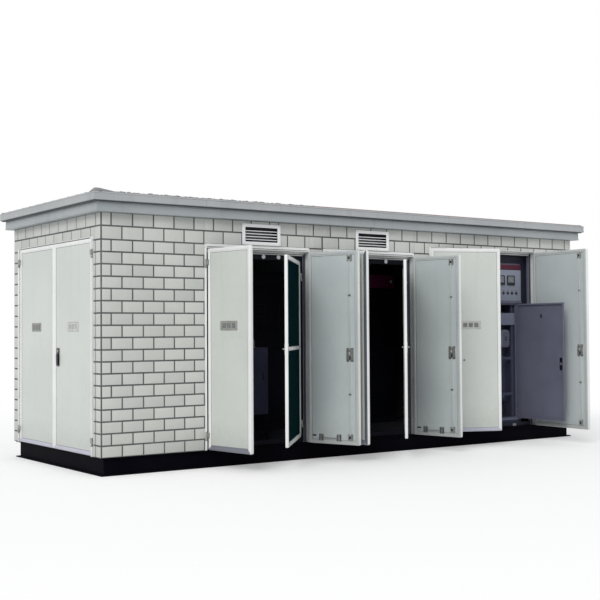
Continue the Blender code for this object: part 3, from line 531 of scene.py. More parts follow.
def screwHead(shape, centre, facing, radius):
    # A pan head with a driver socket, on a face that looks along facing
    centre, facing = Vector(centre), Vector(facing)
    shape.turned(centre - facing * radius * 0.3, centre + facing * radius * 0.5,
                 ((0, radius), (0.55, radius), (0.9, radius * 0.75), (1.0, radius * 0.4),
                  (0.7, radius * 0.3)), "zincSteel", 12)


def cornerScrews(shape, centre, reachX, reachZ, facing, radius):
    # Four screws round a middle, on a face that looks along Y
    x, y, z = centre
    for sideX in (-1, 1):
        for sideZ in (-1, 1):
            screwHead(shape, (x + sideX * reachX, y, z + sideZ * reachZ), (0, facing, 0), radius)


# ---- Brick-faced walls
brickLook = {
    "courses": 20,
    "module": 0.2328,
    "sag": 0.030,             # how far the courses over the doors lie below an even spacing
    "sagCourse": 9,
    "joint": 0.0155,
    "relief": 0.0045,      # how far the mortar lies behind the brick faces
    "edge": 0.0030,
    "cornerJoint": 0.0075,
    "frontCorner": 0.019,     # the dark joint beside the front's left corner
    "smallestCut": 0.010,
    "narrowTop": 2.13,        # up to here above the base a strip beside a doorway has whole bricks
    "steppedFrom": 2.10,      # between the vents the bond starts half a brick over
    "steppedTo": 3.16,
}


def courseHeight(course):
    # The courses close up a little towards the middle of the wall and open again above
    count, low = brickLook["courses"], brickLook["sagCourse"]
    even = (site["wallTop"] - site["baseTop"]) * course / count
    return site["baseTop"] + even - brickLook["sag"] * min(course / low, 1, (count - course) / 2)


def brickRows(span, window):
    # Cells of the running bond over one whole wall, from its left end as seen from outside.
    # Beside a doorway a strip of wall no wider than a brick takes one brick a course.
    count = round(span / brickLook["module"])
    module = span / count
    narrow = window[1] - window[0] < module and window[2] < site["baseTop"] + 1
    over = brickLook["steppedFrom"] < (window[0] + window[1]) / 2 < brickLook["steppedTo"]
    stepped = over and span == site["length"]
    for course in range(brickLook["courses"]):
        z0, z1 = courseHeight(course), courseHeight(course + 1)
        if narrow and z0 < site["baseTop"] + brickLook["narrowTop"]:
            yield window[0], window[1], z0, z1
            continue
        shift = module / 2 if (course % 2 == 1) != stepped else 0.0
        for step in range(count + 1):
            a = max(step * module - shift, 0.0)
            b = min((step + 1) * module - shift, span)
            if b - a > 0.01:
                yield a, b, z0, z1


def addBricks(shape, toneLayer, side, window):
    # Bricks of one wall plane inside a window of it: (from, to, bottom, top)
    origin, along, outward, span = wallPlanes[side]
    origin, along, outward = Vector(origin), Vector(along), Vector(outward)
    half = brickLook["joint"] / 2
    edge = brickLook["edge"]
    startJoint = brickLook["frontCorner" if side == "front" else "cornerJoint"]
    for a, b, z0, z1 in brickRows(span, window):
        left = a + (startJoint if a < 0.001 else half)
        right = b - (brickLook["cornerJoint"] if b > span - 0.001 else half)
        low, high = z0 + half, z1 - half
        left, right = max(left, window[0]), min(right, window[1])
        low, high = max(low, window[2]), min(high, window[3])
        if right - left < brickLook["smallestCut"] or high - low < brickLook["smallestCut"]:
            continue
        slip = chance.uniform(-0.0008, 0.0)
        rings = []
        for inset, depth in ((0.0, -brickLook["relief"] - 0.002), (0.0, slip - edge * 0.7),
                             (edge * 0.35, slip - edge * 0.2), (edge, slip)):
            spots = ((left + inset, low + inset), (right - inset, low + inset),
                     (right - inset, high - inset), (left + inset, high - inset))
            rings.append([origin + along * s + outward * depth + Vector((0, 0, z))
                          for s, z in spots])
        faces = shape.skin(rings, "brickFace")
        tone = chance.betavariate(2.0, 2.2)
        for face in faces:
            for corner in face.loops:
                corner[toneLayer] = (tone, tone, tone, 1.0)


wallPlanes = {
    "front": ((leftX, frontY, 0), (1, 0, 0), (0, -1, 0), site["length"]),
    "back": ((rightX, backY, 0), (-1, 0, 0), (0, 1, 0), site["length"]),
    "left": ((leftX, backY, 0), (0, -1, 0), (-1, 0, 0), site["depth"]),
    "right": ((rightX, frontY, 0), (0, 1, 0), (1, 0, 0), site["depth"]),
}


def makeWall(node, sides, hole=None):
    # The panel of one CAD wall: a mortar body, an inner sheet and bricks on its outer sides
    low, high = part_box(node)
    shape = Shape()
    toneLayer = shape.mesh.loops.layers.color.new("brickTone")
    back = brickLook["relief"]
    core = [list(low), list(high)]
    for side in sides:
        outward = wallPlanes[side][2]
        axis = 0 if outward[0] else 1
        core[outward[axis] > 0][axis] -= outward[axis] * back
    (ax, ay, az), (bx, by, bz) = core
    if hole is None:
        faces = shape.block(core[0], core[1], "mortar")
    else:
        # Four bars round the vent's sleeve make one ring
        faces = shape.skin([
            [(x0, y, z0), (x1, y, z0), (x1, y, z1), (x0, y, z1)] for x0, x1, z0, z1, y in (
                (ax, bx, az, bz, ay), (*hole, ay), (*hole, by), (ax, bx, az, bz, by))],
            "mortar", looped=True)
    outward = Vector(wallPlanes[sides[0]][2])
    bmesh.ops.recalc_face_normals(shape.mesh, faces=shape.mesh.faces)
    # The inner faces take the near-black room paint, which is painted shade
    shape.paint([f for f in faces if f.normal.dot(outward) < -0.9], "innerWallPaintedShade")
    for side in sides:
        origin, along = wallPlanes[side][:2]
        axis = 0 if along[0] else 1
        spots = sorted((p[axis] - origin[axis]) * along[axis] for p in (low, high))
        seam = 0.0004
        window = [spots[0] + seam, spots[1] - seam, low.z + seam, high.z - seam]
        windows = [window]
        if hole is not None:
            left, right = hole[0] - leftX, hole[1] - leftX
            windows = [[window[0], left, *window[2:]], [right, window[1], *window[2:]],
                       [left, right, window[2], hole[2]], [left, right, hole[3], window[3]]]
        for part in windows:
            addBricks(shape, toneLayer, side, part)
    shape.finish(f"{node}_bricks", "building", [node], "brick", angle=25)


ventHole = {"width": 0.442, "rise": 0.1575, "low": 2.3515}
ventMiddles = {1: -1.505, 2: 0.015}
for node, sides in (
        ("front_pier_left", ("front", "left")), ("front_pier_1_2", ("front",)),
        ("front_pier_2_3", ("front",)), ("front_pier_right", ("front", "right")),
        ("lintel_3", ("front",)), ("back_wall", ("back", "left", "right")),
        ("right_wall", ("right",)), ("end_pier_front", ("left",)),
        ("end_pier_back", ("left",)), ("end_lintel", ("left",))):
    makeWall(node, sides)
for number, middle in ventMiddles.items():
    half = ventHole["width"] / 2
    makeWall(f"lintel_{number}", ("front",), (
        middle - half, middle + half, ventHole["low"], ventHole["low"] + ventHole["rise"]))
print("walls laid")


# ---- Roof: two eaves bands of folded sheet and a ribbed roof
bandLook = {
    "lower": {"out": 0.075, "low": 2.575, "high": 2.670, "fold": 0.004},
    "upper": {"out": 0.125, "low": 2.6703, "high": 2.7588, "fold": 0.005, "inner": 0.06},
    "shadowGap": 0.009,    # the recess along the upper band's foot, its faces painted dark as painted shade
    "seamEvery": 2.25,
}


def bandRing(section):
    rings = []
    for out, z in section:
        x, y = site["length"] / 2 + out, site["depth"] / 2 + out
        rings.append([(-x, -y, z), (x, -y, z), (x, y, z), (-x, y, z)])
    return rings


def makeBands():
    look = bandLook["lower"]
    out, low, high, fold = look["out"], look["low"], look["high"], look["fold"]
    gap = site["gap"]
    shape = Shape()
    # Folded sheet: a drip lip below, a flat face with a shallow stiffening crease, a top return
    shape.skin(bandRing((
        (gap, low), (out - fold, low), (out, low + fold), (out, low + 0.013),
        (out - 0.0035, low + 0.0165), (out - 0.0035, high - 0.012), (out - 0.007, high - 0.004),
        (out - 0.007, high), (gap, high))), "lowerBand", looped=True)
    shape.finish("lower_eaves_band", "building", ["eaves_band_lower"], "band", angle=20)

    look = bandLook["upper"]
    out, low, high, fold = look["out"], look["low"], look["high"], look["fold"]
    shape = Shape()
    lip = low + bandLook["shadowGap"]
    faces = shape.skin(bandRing((
        (-look["inner"], low), (out - 0.022, low), (out - 0.022, lip - 0.002),
        (out - 0.019, lip), (out - fold, lip), (out, lip + fold), (out, lip + 0.016),
        (out - 0.004, lip + 0.020), (out - 0.004, high - 0.016), (out, high - 0.012),
        (out, high - fold), (out - fold, high), (-look["inner"], high))), "upperBand", looped=True)
    # Painted shade: the recessed foot faces take a dark paint for the shadow there
    shape.paintWhere(faces, lambda spot: spot.z < lip + 0.0005, "bandPaintedShade")
    # Butt straps over the sheet joints
    every = bandLook["seamEvery"]
    count = int(site["length"] / every)
    for side in (-1, 1):
        y = side * (site["depth"] / 2 + out)
        for step in range(count):
            x = -site["length"] / 2 + every * (step + 0.5)
            shape.block((x - 0.0015, y, lip + 0.002), (x + 0.0015, y - side * 0.006, high - 0.002),
                        "upperBand")
    shape.finish("upper_eaves_band", "building", ["eaves_band_upper"], "band", angle=20)


makeBands()

roofLook = {
    "edge": 0.105,       # how far the sheet's edge reaches past the wall face
    "low": 2.7590,
    "rise": 0.116,
    "pitch": 0.205,
    "ribWidth": 0.052,
    "ribHeight": 0.0035,
    "clips": 46,
    "peak": 0.036,       # the lifted end of the hip over the near corner
}


def makeRoof():
    look = roofLook
    halfX, halfY = site["length"] / 2 + look["edge"], site["depth"] / 2 + look["edge"]
    ridge = halfX - halfY
    shape = Shape()
    low, top = look["low"], look["low"] + look["rise"] - look["ribHeight"] - 0.004
    eaves = ((-halfX, -halfY), (halfX, -halfY), (halfX, halfY), (-halfX, halfY))
    outer = [shape.mesh.verts.new((x, y, low + 0.008)) for x, y in eaves]
    rim = [shape.mesh.verts.new((x, y, low)) for x, y in eaves]
    inner = [shape.mesh.verts.new((x * (1 - 0.03 / halfX), y * (1 - 0.03 / halfY), low))
             for x, y in eaves]
    outerRidge = [shape.mesh.verts.new((s * ridge, 0, top)) for s in (-1, 1)]
    innerRidge = [shape.mesh.verts.new((s * ridge, 0, top - 0.010)) for s in (-1, 1)]
    faces = []
    for points, ends in ((outer, outerRidge), (inner, innerRidge)):
        faces.append(shape.mesh.faces.new((points[0], points[1], ends[1], ends[0])))
        faces.append(shape.mesh.faces.new((points[1], points[2], ends[1])))
        faces.append(shape.mesh.faces.new((points[2], points[3], ends[0], ends[1])))
        faces.append(shape.mesh.faces.new((points[3], points[0], ends[0])))
    for step in range(4):
        after = (step + 1) % 4
        faces.append(shape.mesh.faces.new((rim[step], rim[after], outer[after], outer[step])))
        faces.append(shape.mesh.faces.new((inner[step], inner[after], rim[after], rim[step])))
    shape.paint(faces, "roofTin")

    # Ribs run up each slope and stop at the hips and the ridge
    slope = (top - low - 0.008) / halfY
    start, shortest = 0.004, 0.12
    wide, narrow = look["ribWidth"] / 2, look["ribWidth"] / 2 - 0.012
    outline = ((-wide, -0.003), (wide, -0.003), (wide, 0.0), (narrow, look["ribHeight"]),
               (-narrow, look["ribHeight"]), (-wide, 0.0))
    for axis, half, other, longest in ((0, halfX, halfY, halfY - 0.02), (1, halfY, halfX, halfY)):
        count = int(2 * half / look["pitch"])
        for step in range(count + 1):
            at = -half + 0.03 + (2 * half - 0.06) * step / count
            reach = min(longest, half - abs(at) - 0.01)
            for side in (-1, 1) if reach >= shortest else ():
                foot, head = [Vector((side * (other - run), at, low + 0.008 + slope * run))
                              for run in (start, reach)]
                across = Vector((0, 1, 0))
                if axis == 0:
                    foot.xy, head.xy, across.xy = foot.yx, head.yx, across.yx
                up = (head - foot).cross(across).normalized()
                up *= math.copysign(1, up.z)
                shape.bar((foot, head), [across * a + up * b for a, b in outline], "roofTin")
    # Ridge and hip caps
    cap = 0.055
    outline = ((-cap, -0.004), (0, look["ribHeight"] + 0.003), (cap, -0.004), (0, -0.006))
    shape.bar(((-ridge, 0, top), (ridge, 0, top)), [(0, a, b) for a, b in outline], "roofTin")
    for sideX in (-1, 1):
        for sideY in (-1, 1):
            across = Vector((sideX, -sideY, 0)).normalized()
            foot = (sideX * (halfX - 0.012), sideY * (halfY - 0.012), low + 0.010)
            shape.bar((foot, (sideX * ridge, 0, top)),
                      [across * a + Vector((0, 0, b)) for a, b in outline], "roofTin")
    # Sealant and clips stand up along the front eave, and a folded end caps the near hip
    for step in range(look["clips"]):
        x = -halfX + 0.25 + 2.35 * (step + chance.uniform(0.0, 0.9)) / look["clips"]
        wide, rise = chance.uniform(0.006, 0.024), chance.uniform(0.001, 0.009)
        shape.block((x - wide, -halfY - 0.004, low), (x + wide, -halfY + 0.022, low + 0.008 + rise),
                    "roofTin", 0.003)
    foot = ((-0.002, -0.002), (0.21, -0.002), (0.08, 0.07), (-0.002, 0.12))
    crown = ((0.002, 0.002), (0.050, 0.002), (0.030, 0.030), (0.002, 0.030))
    shape.skin([[(-halfX + x, -halfY + y, low + z) for x, y in spots]
                for spots, z in ((foot, 0.0), (foot, 0.010), (crown, look["peak"]))], "roofTin")
    shape.block((-0.95, -halfY - 0.003, low + 0.002), (halfX - 0.06, -halfY + 0.010, low + 0.012),
                "capRed", 0.002, 1)
    shape.finish("roof_sheet_ribbed", "building", ["roof_sheet"], "roof_metal", angle=15)


makeRoof()
print("roof folded")


# ---- Doorways: a fixed frame, two hinged leaves and a lock set each
doorLook = {
    "liner": 0.008,
    "stopWidth": 0.045,
    "stopFront": 0.078,
    "sideGap": 0.006,
    "topGap": 0.007,
    "bottomGap": 0.005,
    "meetingGap": 0.008,
    "standoff": 0.014,
    "thickness": 0.045,
    "profile": 0.036,
    "cornerRound": 0.016,
    "panelSink": 0.006,
    "hingeInset": 0.13,
    "knuckle": 0.055,
    "knuckleRadius": 0.008,
    "knuckleGap": 0.001,
    "pinRadius": 0.004,
    "postRadius": 0.0072,
    "headRound": 0.030,
    "linerScrews": 5,
}
doorways = {
    "doorway_1": {"foot": (leftX + 1.17, frontY), "turn": 0, "width": 1.34, "height": 2.0944,
                  "bar": 0.04, "left": 80.5, "right": 109.5, "stay": True, "kick": 0.014},
    "doorway_2": {"foot": (leftX + 2.69, frontY), "turn": 0, "width": 1.34, "height": 2.0944,
                  "bar": 0.04, "left": 85.5, "right": 103.0, "stay": True, "kick": 0.014},
    "doorway_3": {"foot": (leftX + 4.26, frontY), "turn": 0, "width": 1.82, "height": 2.2194,
                  "bar": 0.0, "left": 22.0, "right": 88.0, "stay": False, "kick": 0.0,
                  "plateShare": 0.565},
    "end_doorway": {"foot": (leftX, backY - 0.168), "turn": -90, "width": 1.954,
                    "height": 2.1694, "bar": 0.0, "left": 0.0, "right": 0.0, "stay": False,
                    "kick": 0.0},
}


def hingeHeights(height):
    return doorLook["hingeInset"], height - doorLook["hingeInset"] - doorLook["knuckle"]


def makeDoorFrame(name, door):
    look = doorLook
    place = placedAt((*door["foot"], wallZ), door["turn"])
    width, height = door["width"], door["height"]
    gap, liner = site["gap"], look["liner"]
    shape = Shape(place)

    def opening(section, material):
        # The section follows the two jambs and the head, open at the floor
        return shape.skin([
            [(width * side + inward * (1 - 2 * side), y, (height - inward) * up)
             for inward, y in section] for side, up in ((0, 0), (0, 1), (1, 1), (1, 0))], material)

    stop, front = look["stopWidth"], look["stopFront"]
    wall = site["wallThickness"]
    # Liner with a rounded nose, then the stop with a chamfered lip and a shallow groove
    faces = opening((
        (gap, 0.0015), (gap + 0.0015, 0.0), (liner - 0.0015, 0.0), (liner, 0.0015),
        (liner, front), (0.016, front), (0.018, front + 0.003), (0.024, front + 0.003),
        (0.026, front), (stop - 0.006, front), (stop - 0.0015, front + 0.002),
        (stop, front + 0.007), (stop, wall - 0.002), (stop - 0.002, wall), (gap, wall)),
        "whiteBar")
    # Painted shade: the stop's faces on the lower jambs take a darker grey-blue paint for the shade
    # in the reveal
    shape.paintWhere(faces, lambda spot: spot.z < height / 2 + 0.2 and spot.y > front - 0.02
                     and liner + 0.001 < spot.x < width - liner - 0.001, "jambPaintedShade")
    # Rubber seal the leaves close on
    opening(((0.0285, front - 0.006), (0.0295, front - 0.009), (0.0325, front - 0.009),
             (0.0345, front - 0.006), (0.0345, front + 0.001), (0.0285, front + 0.001)), "gasket")
    if door["bar"]:
        # Head bar with round outer corners on its front lip
        top, turn = height + door["bar"], look["headRound"]
        outline = [(width - gap, height - 0.004), *arc(width - gap - turn, top - turn, turn, 0, 6),
                   *arc(gap + turn, top - turn, turn, 90, 6), (gap, height - 0.004)]
        shape.skin([[(x, y, z) for x, z in outline] for y in (0, 0.010)], "whiteBar")
        shape.block((gap, 0.009, height - 0.004), (width - gap, wall, top), "whiteBar")
        shape.block((turn, -0.0035, height + 0.006), (width - turn, 0.002, height + 0.011),
                    "gasket", 0.0015, 1)
    axisY, knuckle = -look["standoff"], look["knuckle"]
    lowHinge, highHinge = hingeHeights(height)
    for axisX, plate, web in (
            (liner, (gap, liner - 0.001), (-0.0015, 0.0005)),
            (width - liner, (width - liner + 0.001, width - gap), (-0.0005, 0.0015))):
        # A fixed post fills the line of the hinges between the knuckles
        above, below = knuckle + 0.004, knuckle / 2 + 0.004
        for start, end in ((0.004, lowHinge - below), (lowHinge + above, highHinge - below),
                           (highHinge + above, height - 0.004)):
            shape.rod((axisX, axisY, start), (axisX, axisY, end), look["postRadius"], "whiteBar")
            shape.block((axisX + web[0], axisY + 0.004, start + 0.002),
                        (axisX + web[1], 0.002, end - 0.002), "whiteBar")
        for z in (lowHinge, highHinge):
            high = z - look["knuckleGap"]
            low = high - knuckle / 2
            shape.rod((axisX, axisY, low), (axisX, axisY, high), look["knuckleRadius"],
                      "zincSteel", 18)
            shape.rod((axisX, axisY, low + 0.004), (axisX, axisY, z + knuckle + 0.002),
                      look["pinRadius"] - 0.0002, "zincSteel", 14)
            shape.block((plate[0], -0.009, low + 0.001), (plate[1], 0.0005, high - 0.001),
                        "zincSteel", 0.001, 1)
    if name == "doorway_3":
        # Low threshold behind the leaves, with two latch keepers; its near-black paint is painted
        # shade
        shape.block((liner + 0.0005, front + 0.002, 0.0),
                    (width - liner - 0.0005, wall - 0.002, 0.048), "fillerPaintedShade", 0.003)
        for x in (width * 0.62, width * 0.80):
            shape.block((x, front - 0.006, 0.004), (x + 0.055, front + 0.004, 0.034), "zincSteel",
                        0.002, 1)
            screwHead(shape, (x + 0.028, front - 0.0058, 0.019), (0, -1, 0), 0.0075)
    # Fixings through the liner
    count = look["linerScrews"]
    for step in range(count):
        for x, facing in ((liner, 1), (width - liner, -1)):
            screwHead(shape, (x, front - 0.030, height * (step + 0.5) / count), (facing, 0, 0),
                      0.0042)
    shape.finish(f"{name}_bar_frame", "building", [f"{name}_frame"], "white_frame")
    return place
    return place


def spread(a, b, hand):
    return (a, b) if hand > 0 else (-b, -a)


plateLook = {
    "width": 0.262,
    "height": 0.098,
    "middle": 1.281,
    "thickness": 0.0022,
    "share": 0.50,       # how far along the leaf the plate's middle is
}


def addBlankPlate(shape, centre, middleZ, outerY, look, field="plateSteel", ink="plateInk"):
    # A bare nameplate: a rolled rim, a sunk field with three blank blocks, four rivets
    halfX, halfZ = look["width"] / 2, look["height"] / 2
    y = outerY - look["thickness"]
    addRing(shape, centre - halfX, centre + halfX, middleZ - halfZ, middleZ + halfZ,
            softSection(0.007, y, outerY + 0.0005, 0.0009, 2), 0.008, "plateSteel")
    shape.block((centre - halfX + 0.0068, y + 0.0008, middleZ - halfZ + 0.0068),
                (centre + halfX - 0.0068, outerY + 0.0004, middleZ + halfZ - 0.0068), field)
    block = look["width"] * 0.205
    for step in (-1, 0, 1):
        x = centre + step * look["width"] * 0.272
        shape.block((x - block / 2, y + 0.0004, middleZ - halfZ * 0.52),
                    (x + block / 2, y + 0.0012, middleZ + halfZ * 0.52), ink, 0.0003, 1)
    cornerScrews(shape, (centre, y + 0.0006, middleZ), halfX - 0.0105, halfZ - 0.0105, -1, 0.0028)


def makeLeaf(name, side, door, place):
    look = doorLook
    hand = 1 if side == "left" else -1
    width = (door["width"] - 2 * look["liner"] - 2 * look["sideGap"] - look["meetingGap"]) / 2
    height = door["height"] - look["liner"] - look["topGap"] - look["bottomGap"]
    axisX = look["liner"] if hand > 0 else door["width"] - look["liner"]
    swing = place @ placedAt((axisX, -look["standoff"], 0), -hand * door[side])
    shape = Shape(swing)
    x0, x1 = spread(look["sideGap"], look["sideGap"] + width, hand)
    z0, z1 = look["bottomGap"], look["bottomGap"] + height
    y0, y1 = look["standoff"], look["standoff"] + look["thickness"]
    bar = look["profile"]
    # Extruded bar with round shoulders, bead, seal and the panel between
    faces = addRing(shape, x0, x1, z0, z1, softSection(bar, y0, y1, 0.0095, 4),
                    look["cornerRound"], "whiteBar")
    sink = look["panelSink"]
    for outer, inner in ((y0 + 0.0035, y0 + 0.012), (y1 - 0.012, y1 - 0.0035)):
        faces += addRing(shape, x0, x1, z0, z1, [
            (bar - 0.004, outer), (bar + 0.0065, outer), (bar + 0.008, outer + 0.001),
            (bar + 0.008, inner), (bar - 0.004, inner)], look["cornerRound"], "whiteBar")
    # The bar is painted greyer on the room side, as painted shade, and its foot rail has a bluish
    # coat outside
    shape.paintWhere(faces, lambda spot: spot.y > y1 - 0.0045 or (
        spot.y > y1 - 0.013 and x0 + bar - 0.005 < spot.x < x1 - bar + 0.005), "innerBar")
    shape.paintWhere(faces, lambda spot: spot.z < z0 + bar + 0.008 and spot.y < y0 + 0.013
                     and x0 + bar * 0.5 < spot.x < x1 - bar * 0.5,
                     "kickStrip" if door["kick"] else "lowRail")
    if name == "doorway_2" and side == "left":
        # Painted shadow: the free edge's outer side, deep in shade between the leaves, takes a dark
        # paint
        shape.paintWhere(faces, lambda spot: spot.y < y0 + 0.0075 and spot.x > x1 - bar - 0.002,
                         "stilePaintedShadow")
    addRing(shape, x0, x1, z0, z1, [(bar + 0.006, y0 + 0.0048), (bar + 0.0105, y0 + 0.0048),
                                    (bar + 0.0105, y1 - 0.0048), (bar + 0.006, y1 - 0.0048)],
            look["cornerRound"], "gasket")
    faces = shape.block((x0 + bar + 0.008, y0 + sink, z0 + bar + 0.008),
                        (x1 - bar - 0.008, y1 - sink, z1 - bar - 0.008), "doorSkin", 0.0008, 1)
    # Painted shade: the panel's room-side face takes the darker copy
    shape.paintWhere(faces, lambda spot: spot.y > (y0 + y1) / 2, "insideSkinPaintedShade")
    if door["kick"]:
        shape.block((x0 + bar + 0.006, y0 + 0.0035, z0 + bar + 0.004),
                    (x1 - bar - 0.006, y0 + sink + 0.001, z0 + bar + 0.004 + door["kick"]),
                    "kickStrip", 0.0012, 1)
    for z in hingeHeights(door["height"]):
        shape.turned((0, 0, z), (0, 0, z + look["knuckle"]),
                     ((0, 0.0070), (0.02, 0.0079), (0.98, 0.0079), (1, 0.0070)), "zincSteel", 18)
        a, b = spread(0.0062, 0.034, hand)
        shape.block((a, -0.003, z + 0.001), (b, 0.0145, z + look["knuckle"] - 0.001),
                    "zincSteel", 0.0012, 1)
        for dz in (0.014, 0.041):
            screwHead(shape, (hand * 0.024, -0.0028, z + dz), (0, -1, 0), 0.0040)
    if name == "end_doorway" or side == "left":
        centre = hand * (look["sideGap"] + width * door.get("plateShare", plateLook["share"]))
        tones = {"end_doorway left": ("plateWorn", "plateInk"),
                 "end_doorway right": ("platePale", "plateSteel")}
        addBlankPlate(shape, centre, plateLook["middle"], y0 + sink, plateLook,
                      *tones.get(f"{name} {side}", ("plateSteel", "plateInk")))
    # A cylinder lock with its escutcheon on the outer face
    if name == "doorway_3" and side == "left":
        spot = Vector((hand * 0.424, y0 + sink, 0.863))
        shape.turned(spot + Vector((0, 0.001, 0)), spot - Vector((0, 0.0055, 0)),
                     ((0, 0.016), (0.6, 0.016), (0.9, 0.0135), (1.0, 0.0105)), "zincSteel", 24)
        shape.turned(spot - Vector((0, 0.004, 0)), spot - Vector((0, 0.0066, 0)),
                     ((0, 0.0085), (0.8, 0.0085), (1.0, 0.007)), "gasket", 18)
    if door["stay"] and side == "right":
        addStay(shape, hand, y1 - sink)
    shape.finish(f"{name}_{side}_panel_leaf", f"{name}_{side}_leaf_body",
                 [f"{name}_{side}_leaf"], "door_panel")
    return swing, width, height


stayLook = {
    "spots": (0.173, 0.401),
    "low": 0.034,
    "width": 0.062,
    "height": 0.078,
    "rodRadius": 0.0040,
}


def addStay(shape, hand, innerY):
    # Folded stay: two riveted brackets near the foot of the leaf, with a thin rod between them
    look = stayLook
    for spot in look["spots"]:
        a, b = spread(spot - look["width"] / 2, spot + look["width"] / 2, hand)
        low, high = look["low"], look["low"] + look["height"]
        shape.block((a, innerY - 0.0005, low), (b, innerY + 0.0050, high), "zincSteel", 0.0008, 1)
        for x in (a + 0.010, b - 0.014):
            shape.block((x, innerY + 0.002, low + 0.008), (x + 0.004, innerY + 0.012, high - 0.008),
                        "gasket", 0.0008, 1)
        for dz in (0.006, look["height"] - 0.006):
            screwHead(shape, ((a + b) / 2, innerY + 0.0049, low + dz), (0, 1, 0), 0.0036)
    ends = [hand * spot for spot in look["spots"]]
    z = look["low"] + look["height"] * 0.45
    shape.rod((ends[0], innerY + 0.0075, z), (ends[1], innerY + 0.0075, z),
              look["rodRadius"], "zincSteel", 12)
    # Rubber buffer beside the hinge
    a, b = spread(0.060, 0.106, hand)
    shape.block((a, innerY - 0.0005, 0.084), (b, innerY + 0.008, 0.100), "gasket", 0.003, 2)


lockLook = {
    "fromEdge": 0.11,
    "middle": 0.965,
    "boxWidth": 0.092,
    "boxHeight": 0.146,
    "boxDepth": 0.0235,
    "rodWidth": 0.013,
    "rodDepth": 0.008,
    "rodLift": 0.0035,
    "bracketWidth": 0.066,
    "bracketHeight": 0.072,
    "handleWidth": 0.058,
    "handleHeight": 0.19,
}


def makeLockSet(name, swing, width, height):
    look = lockLook
    shape = Shape(swing)
    centre = look["fromEdge"] - doorLook["sideGap"] - width
    inner = doorLook["standoff"] + doorLook["thickness"] - doorLook["panelSink"] + site["gap"]
    outer = doorLook["standoff"] + doorLook["panelSink"] - site["gap"]
    middle, depth = look["middle"], look["boxDepth"]
    half, reach = look["boxWidth"] / 2, look["boxHeight"] / 2
    low, high = middle - reach, middle + reach

    def inside(x0, x1, y0, y1, z0, z1, material, *bevel):
        # A block on the leaf's inner face. X is counted from the lock's middle.
        shape.block((centre + x0, inner + y0, z0), (centre + x1, inner + y1, z1), material, *bevel)

    def outside(x0, x1, y0, y1, z0, z1, *coat):
        # A block on the outer face, in shares of the handle plate's half width and height
        shape.block((centre + half * x0, outer - y0, middle + reach * z0),
                    (centre + half * x1, outer - y1, middle + reach * z1), *coat)

    # Lock case: a base plate, a raised gear housing, a slot plate and a thumb turn
    inside(-half, half, 0.0, 0.003, low, high, "zincSteel", 0.0012, 1)
    inside(-half * 0.62, half * 0.62, 0.002, depth * 0.72, low + 0.014, high - 0.014, "plateInk",
           0.004, 3)
    for x0, x1 in ((-0.90, -0.66), (0.66, 0.90)):
        inside(half * x0, half * x1, 0.002, depth * 0.5, low + 0.024, high - 0.024, "zincSteel",
               0.0015, 1)
    inside(-half * 0.42, half * 0.10, depth * 0.70, depth * 0.76, low + 0.022, low + 0.060,
           "gasket", 0.001, 1)
    turn = Vector((centre + half * 0.12, inner, middle + 0.014))
    shape.turned(turn + Vector((0, depth * 0.68, 0)), turn + Vector((0, depth, 0)),
                 ((0, 0.014), (0.5, 0.014), (0.8, 0.012), (1, 0.009)), "plateSteel", 22)
    cornerScrews(shape, (centre, inner + 0.0029, middle), half - 0.008, reach - 0.008, 1, 0.0040)
    # Flat rod from top to bottom, with guides and end brackets
    bottom = doorLook["bottomGap"] + doorLook["profile"] + 0.005
    top = doorLook["bottomGap"] + height - doorLook["profile"] - 0.005
    rodHalf = look["rodWidth"] / 2
    for a, b in ((bottom + 0.012, low + 0.020), (high - 0.020, top - 0.012)):
        inside(-rodHalf, rodHalf, look["rodLift"], look["rodLift"] + look["rodDepth"], a, b,
               "innerBar", 0.0022)
    for share in (0.25, 0.78):
        z = bottom + (top - bottom) * share
        for x0, x1, y0, y1 in ((-0.0145, -0.0065, 0.0, 0.009), (0.0065, 0.0145, 0.0, 0.009),
                               (-0.0145, 0.0145, 0.0085, 0.0125)):
            inside(x0, x1, y0, y1, z - 0.009, z + 0.009, "zincSteel", 0.001, 1)
    half, reach = look["bracketWidth"] / 2, look["bracketHeight"] / 2
    for z in (bottom + 0.002 + reach, top - 0.002 - reach):
        inside(-half, half, 0.0, 0.003, z - reach, z + reach, "zincSteel", 0.0012, 1)
        for x in (-0.0165, 0.0165):
            inside(x - 0.0045, x + 0.0045, 0.002, 0.0158, z - reach + 0.008, z + reach - 0.008,
                   "zincSteel", 0.0012, 1)
        inside(-0.018, 0.018, 0.0125, 0.0156, z - reach + 0.022, z + reach - 0.022, "gasket",
               0.0008, 1)
        cornerScrews(shape, (centre, inner + 0.0029, z), half - 0.007, reach - 0.010, 1, 0.0038)
    # Spindle through the leaf
    shape.rod((centre, outer - 0.002, middle), (centre, inner + 0.004, middle), 0.0078, "zincSteel")
    # The handle outside: a long plate, a lever in its well, a keyhole
    half, reach = look["handleWidth"] / 2, look["handleHeight"] / 2
    outside(-1.5, 0.9, 0.007, 0.0, -1, 1, "blackGrip", 0.003)
    outside(-0.70, 0.60, 0.0232, 0.0065, -0.84, 0.40, "blackGrip", 0.006, 3)
    shape.turned((centre, outer - 0.0065, middle + reach * 0.70),
                 (centre, outer - 0.0145, middle + reach * 0.70),
                 ((0, 0.0125), (0.7, 0.0125), (1, 0.0100)), "zincSteel", 20)
    # Grey thumb lever beside the grip, on the free edge's side
    outside(-1.10, -0.74, 0.0205, 0.0065, -0.30, 0.24, "plateSteel", 0.002)
    outside(-1.9, -1.48, 0.006, 0.0002, -0.22, 0.14, "plateInk", 0.002)
    shape.finish(f"{name}_lock_and_handle", f"{name}_right_leaf_body", [f"{name}_lock_set"],
                 "lock_metal")


